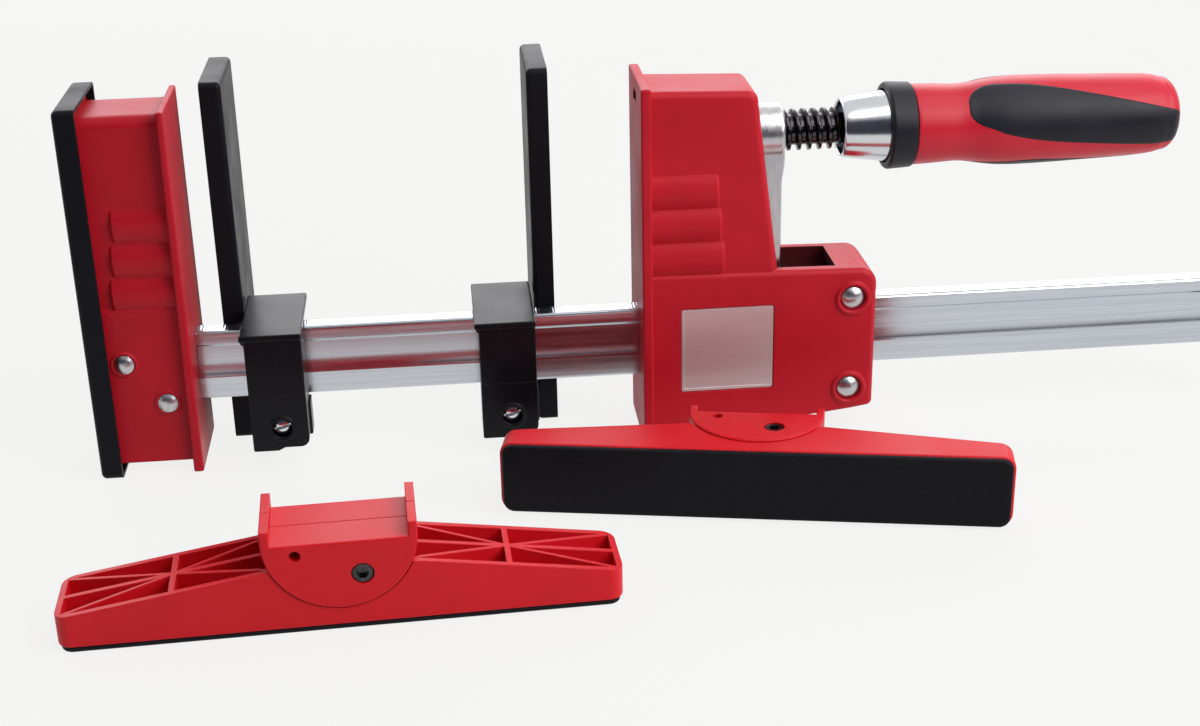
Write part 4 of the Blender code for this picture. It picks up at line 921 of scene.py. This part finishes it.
def inlayPatch(look, table, side):
    # Patch of the grip's surface along a table of (share, middle angle, half angle) rows
    rows = 72
    across = 28
    front = look["front"]
    length = look["length"]
    sink = look["inlaySink"]
    start = table[0][0]
    end = table[-1][0]
    solid = bmesh.new()
    grid = []
    for i in range(rows + 1):
        share = start + (end - start) * (0.5 - 0.5 * cos(pi * i / rows)) ** 0.9
        middle, half = flowing(table, share)
        if i == 0:
            half *= 0.6
        r = handleRadius(look, share)
        ends = min(share - start, end - share) * length
        row = []
        for k in range(across + 1):
            v = 2 * k / across - 1
            near = min(1 - abs(v), 1.0) * radians(half) * r
            outer = r - sink + (sink + look["inlayRise"]) * smooth(min(near, ends * 1.6) / 0.7)
            t = radians(middle + half * v)
            row.append(solid.verts.new((front + length * share, -side * outer * cos(t), outer * sin(t))))
        grid.append(row)
    under = [[solid.verts.new((v.co.x, v.co.y * 0.93, v.co.z * 0.93)) for v in row] for row in grid]
    for i in range(rows):
        for k in range(across):
            solid.faces.new((grid[i][k], grid[i][k + 1], grid[i + 1][k + 1], grid[i + 1][k]))
            solid.faces.new((under[i][k], under[i + 1][k], under[i + 1][k + 1], under[i][k + 1]))
        for k in (0, across):
            solid.faces.new((grid[i][k], grid[i + 1][k], under[i + 1][k], under[i][k]))
    for i in (0, rows):
        for k in range(across):
            solid.faces.new((grid[i][k], grid[i][k + 1], under[i][k + 1], under[i][k]))
    bmesh.ops.recalc_face_normals(solid, faces=solid.faces)
    return solid


def makeHandle(look):
    count = 110
    front = look["front"]
    mouth = handleRadius(look, 0)
    profile = [(look["tangEnd"], 0), (look["tangEnd"], look["tangBore"]),
               (look["neckStart"], look["tangBore"]), (look["neckStart"], look["neck"]),
               (front, look["neck"]), (front, mouth - 0.5), (front + 0.1, mouth - 0.2)]
    for k in range(count + 1):
        share = 0.004 + 0.996 * (1 - (1 - k / count) ** 1.5)
        r = handleRadius(look, share)
        profile.append((front + look["length"] * share, 0 if k == count else max(r, 0.05)))
    body = shifted(lathe(profile, look["sides"]), z=spindle["height"])
    settled("handleBody", [body], handleFinish, "spindle_unit", "handle_body")
    for tag, table, side in (("a", "inlay", 1), ("b", "inlay", -1), ("c", "footInlay", 1)):
        patch = shifted(inlayPatch(look, look[table], side), z=spindle["height"])
        settled("gripInlay_" + tag, [patch], rubberFinish, "spindle_unit", "grip_inlay_" + tag,
                sharp=60)


makeArm(arm)
makeSpindle(spindle)
makeFerrule(ferrule)
makeCollar(collar)
makeHandle(handle)
print("arm, spindle and handle made")


saddle = {
    "length": 24.2, "half": 23.2, "top": 58.4, "plate": 2.6, "plateEdge": 0.7, "overhang": 1.6,
    "front": -22.2, "legEnd": 24.0, "foot": 9.5, "tab": 11.6, "tabFoot": 8.2, "tabSlope": 2.6,
    "corner": 3.5, "footCorner": 0.8, "legEdge": 0.6, "ledge": 32.0, "ledgeDepth": 0.4,
    "screwAlong": 13.6, "screwHeight": 17.8, "bore": 2.8, "holeRadius": 4.0, "holeDepth": 5.3,
    "backStart": 4.6, "backEnd": 20.6, "backFoot": 11.5, "backFace": 11.0, "nut": 4.3, "nutDepth": 3.5,
    "headRadius": 3.6, "headLength": 3.4, "headSink": 1.4, "shank": 2.5, "slotWidth": 1.1,
    "slotDepth": 1.6, "slotTurn": 75.0, "rimRadius": 5.4, "rimRise": 0.6, "pips": (5.6, 21.2),
    "pipHeight": 11.6, "pipRadius": 0.75, "pipRise": 0.25, "blade": 24.9, "bladeStart": 4,
    "bladeBack": -13.0, "bladeRise": 1.2, "bladeEdge": 0.3, "cove": 2.2, "coveRadius": 1.0,
    "dome": ((0, 0), (0.04, 0.2), (0.15, 0.4), (0.36, 0.6), (0.55, 0.73), (0.80, 0.85), (1.10, 0.95),
             (1.45, 1))}


def makeSaddle(look, name, nodeName, body, place):
    front = look["front"]
    side = -rail["half"] - rail["fit"]
    under = look["top"] - look["plate"]
    start = look["overhang"]
    end = look["legEnd"]
    foot = look["foot"]
    x = look["screwAlong"]
    z = look["screwHeight"]
    back = look["backFace"]
    plate = soften(block((0, look["length"]), (-look["half"], look["half"]), (under, look["top"])),
                   look["plateEdge"], 5)
    spine = block((start + 0.5, look["length"] - look["corner"]), (front / 2, 8),
                  (rail["top"] + rail["fit"], under + 0.5))
    leg = slab(roundCorners(
        [(start, look["tabFoot"]), (look["tab"], look["tabFoot"]), (look["tab"] + look["tabSlope"], foot),
         (end, foot), (end, under + 1), (start, under + 1)],
        [look["footCorner"]] * 3 + [look["corner"], 0, 0], 6), front, side)
    soften(leg, look["legEdge"], 4, lambda p: p.y < front + 0.01 and p.z < under)
    ledge = block((-5, look["length"] + 5), (front - 5, front + look["ledgeDepth"]), (0, look["ledge"]))
    hole = rivetBore(x, z, look["holeRadius"], front - 5, front + look["holeDepth"])
    backLeg = block((look["backStart"], look["backEnd"]), (-side, back), (look["backFoot"], under + 1))
    soften(backLeg, look["legEdge"], 4, lambda p: p.y > back - 0.1)
    nest = slab(ringPoints((x, z), look["nut"] / cos(pi / 6), 6), back - look["nutDepth"], back + 5)
    face = front + look["ledgeDepth"]
    crest = face - look["rimRise"]
    outer = look["rimRadius"]
    inner = look["holeRadius"]
    rim = lathe([(face + 0.9, inner), (face + 0.9, outer), (face, outer), (crest + 0.12, outer - 0.18),
                 (crest, outer - 0.45), (crest + 0.02, inner + 0.5), (crest + 0.2, inner + 0.1)],
                56, closed=True)
    pips = []
    for along in look["pips"]:
        r = look["pipRadius"]
        pip = lathe([(face + 0.5, 0), (face + 0.5, r), (face, r), (face - 0.18, r - 0.2),
                     (face - look["pipRise"], 0)], 20)
        pips.append(shifted(acrossRail(pip), x=along, z=look["pipHeight"]))
    blade = block((end - look["bladeStart"], look["blade"]), (look["bladeBack"], side),
                  (foot + look["bladeRise"], rail["foot"] - rail["fit"]))
    soften(blade, look["bladeEdge"], 3)
    # Rounded inner corner where the plate passes over the leg's edge
    cove = under - look["cove"]
    r = look["coveRadius"]
    coveLine = [(start + 0.5, under + 0.3), (start - r, under + 0.3)]
    coveLine += arcPoints((start - r, cove), r, 88, 2, 6) + [(start + 0.5, cove)]
    shells = [plate, spine, cutBy(leg, ledge, hole, rivetBore(x, z, look["bore"])), blade,
              slab(coveLine, front + 0.3, -5.0), cutBy(backLeg, rivetBore(x, z, look["bore"]), nest),
              shifted(acrossRail(rim), x=x, z=z)] + pips
    settled(name, [shifted(shell, x=place) for shell in shells], saddleFinish, body, nodeName)

    crown = front + look["headSink"]
    r = look["headRadius"]
    head = [(crown + along, r * share) for along, share in look["dome"]]
    head += [(crown + look["headLength"], r), (crown + look["headLength"], look["shank"]),
             (back, look["shank"]), (back, 0)]
    slot = block((-look["slotWidth"] / 2, look["slotWidth"] / 2), (crown - 5, crown + look["slotDepth"]),
                 (-8, 8))
    slot.transform(Matrix.Rotation(radians(look["slotTurn"]), 4, "Y"))
    screw = shifted(cutBy(acrossRail(lathe(head, 40)), slot), x=place + x, z=z)
    settled(name + "Screw", [screw], screwFinish, body, nodeName + "_screw")


for tag, place in (("Left", 19.0), ("Right", 110.9)):
    nodeName = "saddle_" + tag.lower()
    makeSaddle(saddle, "saddle" + tag, nodeName, nodeName + "_unit", place)
print("saddles made")


adapter = {
    "length": 191.2, "width": 28.5, "endHeight": 13.5, "midHeight": 24.0, "midLength": 54.0,
    "padThick": 1.9, "padGap": 0.3, "padEdge": 1.2, "padInset": 1.0, "padSideInset": 0.4, "padCorner": 4.2,
    "corner": 5.0, "footEdge": 0.7, "wall": 2.2, "rib": 2.0, "diagonal": 1.4, "floor": 2.8, "node": 56.6,
    "pocketStart": 23.5, "hubRadius": 26.1, "hubWidth": 30.0, "hubHeight": 35.2, "hubFloor": 34.0,
    "hubEdge": 0.6, "hubGap": 0.15, "earTop": 39.5, "earThick": 3.1, "seatGap": 0.4, "tongueHalf": 3.0,
    "tongueInner": 12.0, "tongueOuter": 27.9, "tongueAngle": 58.0, "sweep": 74.5, "grooveHalf": 3.3,
    "grooveInner": 11.4, "grooveOuter": 36, "guideSweep": 24.4, "holeRadius": 2.0, "holeAlong": -15.0,
    "holeHeight": 29.9, "screwReach": 15.3, "screwAngle": -62.8, "screwRadius": 1.8, "screwRoom": 0.3,
    "screwHead": 3.6, "screwHeadLength": 3.0, "screwSink": 0.3, "screwEnd": 0.6, "socket": 2.1,
    "socketDepth": 1.8}


def clipped(outline, point, normal):
    # Part of a convex outline on the normal's side
    kept = []
    for i in range(len(outline)):
        a = Vector(outline[i])
        b = Vector(outline[(i + 1) % len(outline)])
        da = (a - Vector(point)).dot(normal)
        db = (b - Vector(point)).dot(normal)
        if da >= 0:
            kept.append(tuple(a))
        if da * db < 0:
            kept.append(tuple(a + (b - a) * (da / (da - db))))
    return kept


def adapterPockets(look):
    # Triangular pockets between the walls, the ribs and the diagonals
    inner = look["length"] / 2 - look["wall"]
    wall = look["width"] / 2 - look["wall"]
    node = look["node"]
    rib = look["rib"] / 2
    pockets = []
    for side in (-1, 1):
        for across in (-1, 1):
            for low, high, way in ((look["pocketStart"], node, -1), (node, inner, 1)):
                start, stop = (low, high)[::way]
                cell = clipped(oblong((low, high), (0, wall)), (start + way * rib, 0), Vector((way, 0)))
                cell = clipped(cell, (0, rib), Vector((0, 1)))
                along = Vector((stop - start, wall)).normalized()
                normal = Vector((-along.y, along.x))
                for sign in (-1, 1):
                    offset = normal * (sign * look["diagonal"] / 2)
                    part = clipped(cell, (start + offset.x, offset.y), normal * sign)
                    if len(part) > 2:
                        pockets.append([(side * u, across * v) for u, v in part])
    return pockets


def band(centre, inner, outer, low, high, steps, width):
    # Curved slab between two radii
    outline = arcPoints(centre, outer, low, high, steps[0]) + arcPoints(centre, inner, high, low, steps[1])
    return slab(outline, -width, width)


def makeAdapter(look, side, where):
    half = look["length"] / 2
    wide = look["width"] / 2
    hubHalf = look["hubWidth"] / 2
    foot = look["padThick"] + look["padGap"]
    middle = look["midLength"] / 2
    centre = (0, look["hubHeight"])
    bodyName = side + "_adapter"
    hubName = side + "_hub"
    room = look["screwRadius"] + look["screwRoom"]
    bar = slab([(-half, foot), (half, foot), (half, look["endHeight"]), (middle, look["midHeight"]),
                (-middle, look["midHeight"]), (-half, look["endHeight"])], -wide, wide)
    soften(bar, look["corner"], 8, lambda p: abs(p.x) > half - 1 and abs(p.y) > 3)
    soften(bar, look["footEdge"], 3, lambda p: p.z < foot + 0.01, keen=60)
    tools = [slab(outline, foot + look["floor"], 40, "Z") for outline in adapterPockets(look)]
    tools.append(slab(ringPoints(centre, look["hubRadius"] + look["seatGap"], 96), -30, 30))
    tongue = band(centre, look["tongueInner"], look["tongueOuter"], -90 - look["tongueAngle"],
                  -90 + look["tongueAngle"], (40, 30), look["tongueHalf"])
    reach = look["screwReach"]
    guide = band(centre, reach - room, reach + room, look["screwAngle"] - look["guideSweep"],
                 look["screwAngle"] + look["guideSweep"], (12, 12), 6)
    settled(side + "AdapterBar", [cutBy(bar, *tools), cutBy(tongue, guide)], adapterFinish, bodyName,
            bodyName + "_bar", place=where)

    padHalf = half - look["padInset"]
    padSide = wide - look["padSideInset"]
    pad = slab(roundCorners(oblong((-padHalf, padHalf), (-padSide, padSide)), look["padCorner"], 10),
               0, look["padThick"], "Z")
    soften(pad, look["padEdge"], 6, lambda p: p.z < 0.01)
    settled(side + "AdapterPad", [pad], padFinish, bodyName, bodyName + "_pad", place=where)

    r = look["hubRadius"]
    ear = r - look["earThick"]
    top = look["earTop"]
    angle = radians(look["screwAngle"])
    screwAt = (reach * cos(angle), look["hubHeight"] + reach * sin(angle))
    for tag, sign in (("Front", -1), ("Back", 1)):
        outline = arcPoints(centre, r, -180, 0, 60) + [
            (r, top), (ear, top), (ear, look["hubFloor"]), (-ear, look["hubFloor"]), (-ear, top), (-r, top)]
        faces = (sign * hubHalf, sign * look["hubGap"])
        shape = slab(outline, min(faces), max(faces))
        soften(shape, look["hubEdge"], 4, lambda p: abs(p.y) > hubHalf - 0.05)
        tools = [band(centre, look["grooveInner"], look["grooveOuter"], -90 - look["sweep"],
                      -90 + look["sweep"], (40, 30), look["grooveHalf"]),
                 slab(ringPoints(screwAt, room, 32), -40, 40)]
        if sign < 0:
            tools.append(slab(ringPoints(screwAt, look["screwHead"] + look["screwRoom"], 40), -40,
                              look["screwHeadLength"] - hubHalf))
            tools.append(slab(ringPoints((look["holeAlong"], look["holeHeight"]), look["holeRadius"], 32),
                              -40, 0))
        settled(side + "Hub" + tag, [cutBy(shape, *tools)], adapterFinish, hubName,
                bodyName + "_hub_" + tag.lower(), place=where)

    front = look["screwSink"] - hubHalf
    back = front + look["screwHeadLength"] - 0.6
    tip = hubHalf - look["screwEnd"]
    h = look["screwHead"]
    screw = lathe([(front, 0), (front, h - 0.4), (front + 0.12, h - 0.12), (front + 0.4, h), (back, h),
                   (back, look["screwRadius"]), (tip, look["screwRadius"]), (tip, 0)], 40)
    socket = slab(ringPoints((0, 0), look["socket"], 6), front - 5, front + look["socketDepth"])
    screw = shifted(cutBy(acrossRail(screw), socket), x=screwAt[0], z=screwAt[1])
    settled(side + "HubScrew", [screw], darkFinish, hubName, bodyName + "_screw", place=where)


# One adapter lies on its pad, the other on its long side
adapterPlaces = {
    "left": {"at": (60.2, -134.5, 0), "turn": 2.43, "tip": 0},
    "right": {"at": (210.4, -92.0, 15.0), "turn": -11.68, "tip": -90}}
for sideName, spot in adapterPlaces.items():
    makeAdapter(adapter, sideName, Matrix.Translation(spot["at"])
                @ Matrix.Rotation(radians(spot["turn"]), 4, "Z")
                @ Matrix.Rotation(radians(spot["tip"]), 4, "X"))
print("adapters made")


view = {"yaw": 5.05, "pitch": 23.18, "roll": -1.23, "at": (101.93, -682.33, 322.45), "lens": 54.108,
        "sensor": 36.0, "clipStart": 0.01}


def placeCamera(look):
    yaw = radians(look["yaw"])
    pitch = radians(look["pitch"])
    roll = radians(look["roll"])
    across = Vector((cos(yaw), -sin(yaw), 0))
    level = Vector((sin(yaw), cos(yaw), 0))
    ahead = level * cos(pitch) - Vector((0, 0, 1)) * sin(pitch)
    upward = level * sin(pitch) + Vector((0, 0, 1)) * cos(pitch)
    right = across * cos(roll) + upward * sin(roll)
    top = upward * cos(roll) - across * sin(roll)
    camera = bpy.data.objects.new("camera", bpy.data.cameras.new("camera"))
    camera.data.lens = look["lens"]
    camera.data.sensor_width = look["sensor"]
    camera.data.clip_start = look["clipStart"]
    at = toRow @ Vector(look["at"])
    camera.matrix_world = Matrix((
        (right.x, top.x, -ahead.x, at.x),
        (right.y, top.y, -ahead.y, at.y),
        (right.z, top.z, -ahead.z, at.z),
        (0, 0, 0, 1)))
    scene.collection.objects.link(camera)
    scene.camera = camera


lightAim = (0.0, 0.0, 0.05)
lights = {
    "back": {"at": (0.05, 1.70, 0.95), "size": (3.4, 1.3), "radiance": 2.2, "tint": (0.95, 0.94, 1.0)},
    "key": {"at": (0.60, -0.50, 0.62), "size": (0.75, 0.65), "radiance": 4.9, "tint": (1.0, 0.99, 0.99)},
    "above": {"at": (0.20, -0.16, 0.74), "size": (0.75, 0.2), "radiance": 2.4, "tint": (0.98, 0.97, 1.0)}}


def placeLight(name, look):
    lamp = bpy.data.lights.new(name, "AREA")
    lamp.shape = "RECTANGLE"
    lamp.size = look["size"][0]
    lamp.size_y = look["size"][1]
    lamp.color = look["tint"]
    lamp.energy = look["radiance"] * pi * look["size"][0] * look["size"][1]
    item = bpy.data.objects.new(name, lamp)
    item.location = look["at"]
    aim = Vector(lightAim) - Vector(look["at"])
    item.rotation_euler = aim.to_track_quat("-Z", "Y").to_euler()
    scene.collection.objects.link(item)


surround = {
    "up": (0.45, 0.455, 0.485), "level": (0.09, 0.09, 0.12), "seen": (0.925, 0.925, 0.915),
    "levelEnd": 0.17, "upStart": 0.40, "seenFrom": (-0.1, 0.1),
    "front": (0.045, 0.045, 0.065), "frontSide": (0.30, 0.65), "frontTop": (0.55, 0.85)}


def seenRays(made, glossyShare=1.0):
    # 1 for the rays that see the plain background: the camera's, and those off metal and through glass
    camera, through, glossy = [made.add("ShaderNodeLightPath", output=ray) for ray in (
        "Is Camera Ray", "Is Transmission Ray", "Is Glossy Ray")]
    return (camera + through + glossy * glossyShare).between(0.0, 1.0)


def makeWorld(look):
    world = bpy.data.worlds.new("studio")
    scene.world = world
    made = Finish(world)
    where = made.add("ShaderNodeTexCoord", output="Generated")
    height = made.add("ShaderNodeSeparateXYZ", None, {0: where}, output="Z")
    ahead = 0 - made.add("ShaderNodeSeparateXYZ", None, {0: where}, output="Y")
    room = made.mixed(height.between(look["levelEnd"], look["upStart"]), look["level"], look["up"])
    dark = ahead.between(*look["frontSide"]) * (1 - height.between(*look["frontTop"]))
    room = made.mixed(dark, room, look["front"])
    # The metal doesn't see the white background in front, where the room is dark
    seenBy = seenRays(made, (1 - dark) * height.between(*look["seenFrom"]))
    colour = made.mixed(seenBy, room, look["seen"])
    glow = made.add("ShaderNodeBackground", None, {"Color": colour, "Strength": 1.0})
    made.ended(glow, "ShaderNodeOutputWorld")


floor = {
    "half": 1.5, "near": 0.46, "colour": (0.72, 0.72, 0.71), "clouding": 1.015, "cloudSize": 160.0,
    "fibreSize": 0.8, "fibreDepth": 0.02, "roughness": 0.8, "seen": (0.93, 0.93, 0.92), "seenShare": 0.9}


def makeFloor(look):
    solid = bmesh.new()
    half = look["half"]
    corners = oblong((-half, half), (-look["near"], half))
    solid.faces.new([solid.verts.new((x, y, 0)) for x, y in corners])
    item = loose(solid, "floor")
    made = Finish(bpy.data.materials.new("paleFloor"))
    where = made.spot()
    cloud = made.noise(where, look["cloudSize"], 2.0).between(0.3, 0.7)
    fibre = made.noise(where, look["fibreSize"], 2.0)
    paler = tuple(c * look["clouding"] for c in look["colour"])
    surface = made.add("ShaderNodeBsdfPrincipled", None, {
        "Base Color": made.mixed(cloud, look["colour"], paler),
        "Roughness": look["roughness"] + (fibre - 0.5) * 0.1, "Specular IOR Level": 0.2,
        "Normal": made.bump(fibre, 0.3, look["fibreDepth"])})
    glow = made.add("ShaderNodeEmission", None, {"Color": look["seen"], "Strength": 1.0})
    both = made.add("ShaderNodeMixShader", None, {
        0: seenRays(made) * look["seenShare"], 1: surface, 2: glow})
    item.data.materials.append(made.ended(both, "ShaderNodeOutputMaterial"))


placeCamera(view)
for lightName, look in lights.items():
    placeLight(lightName, look)
makeWorld(surround)
makeFloor(floor)
scene.view_settings.view_transform = "Standard"
print("camera, lights and floor placed")
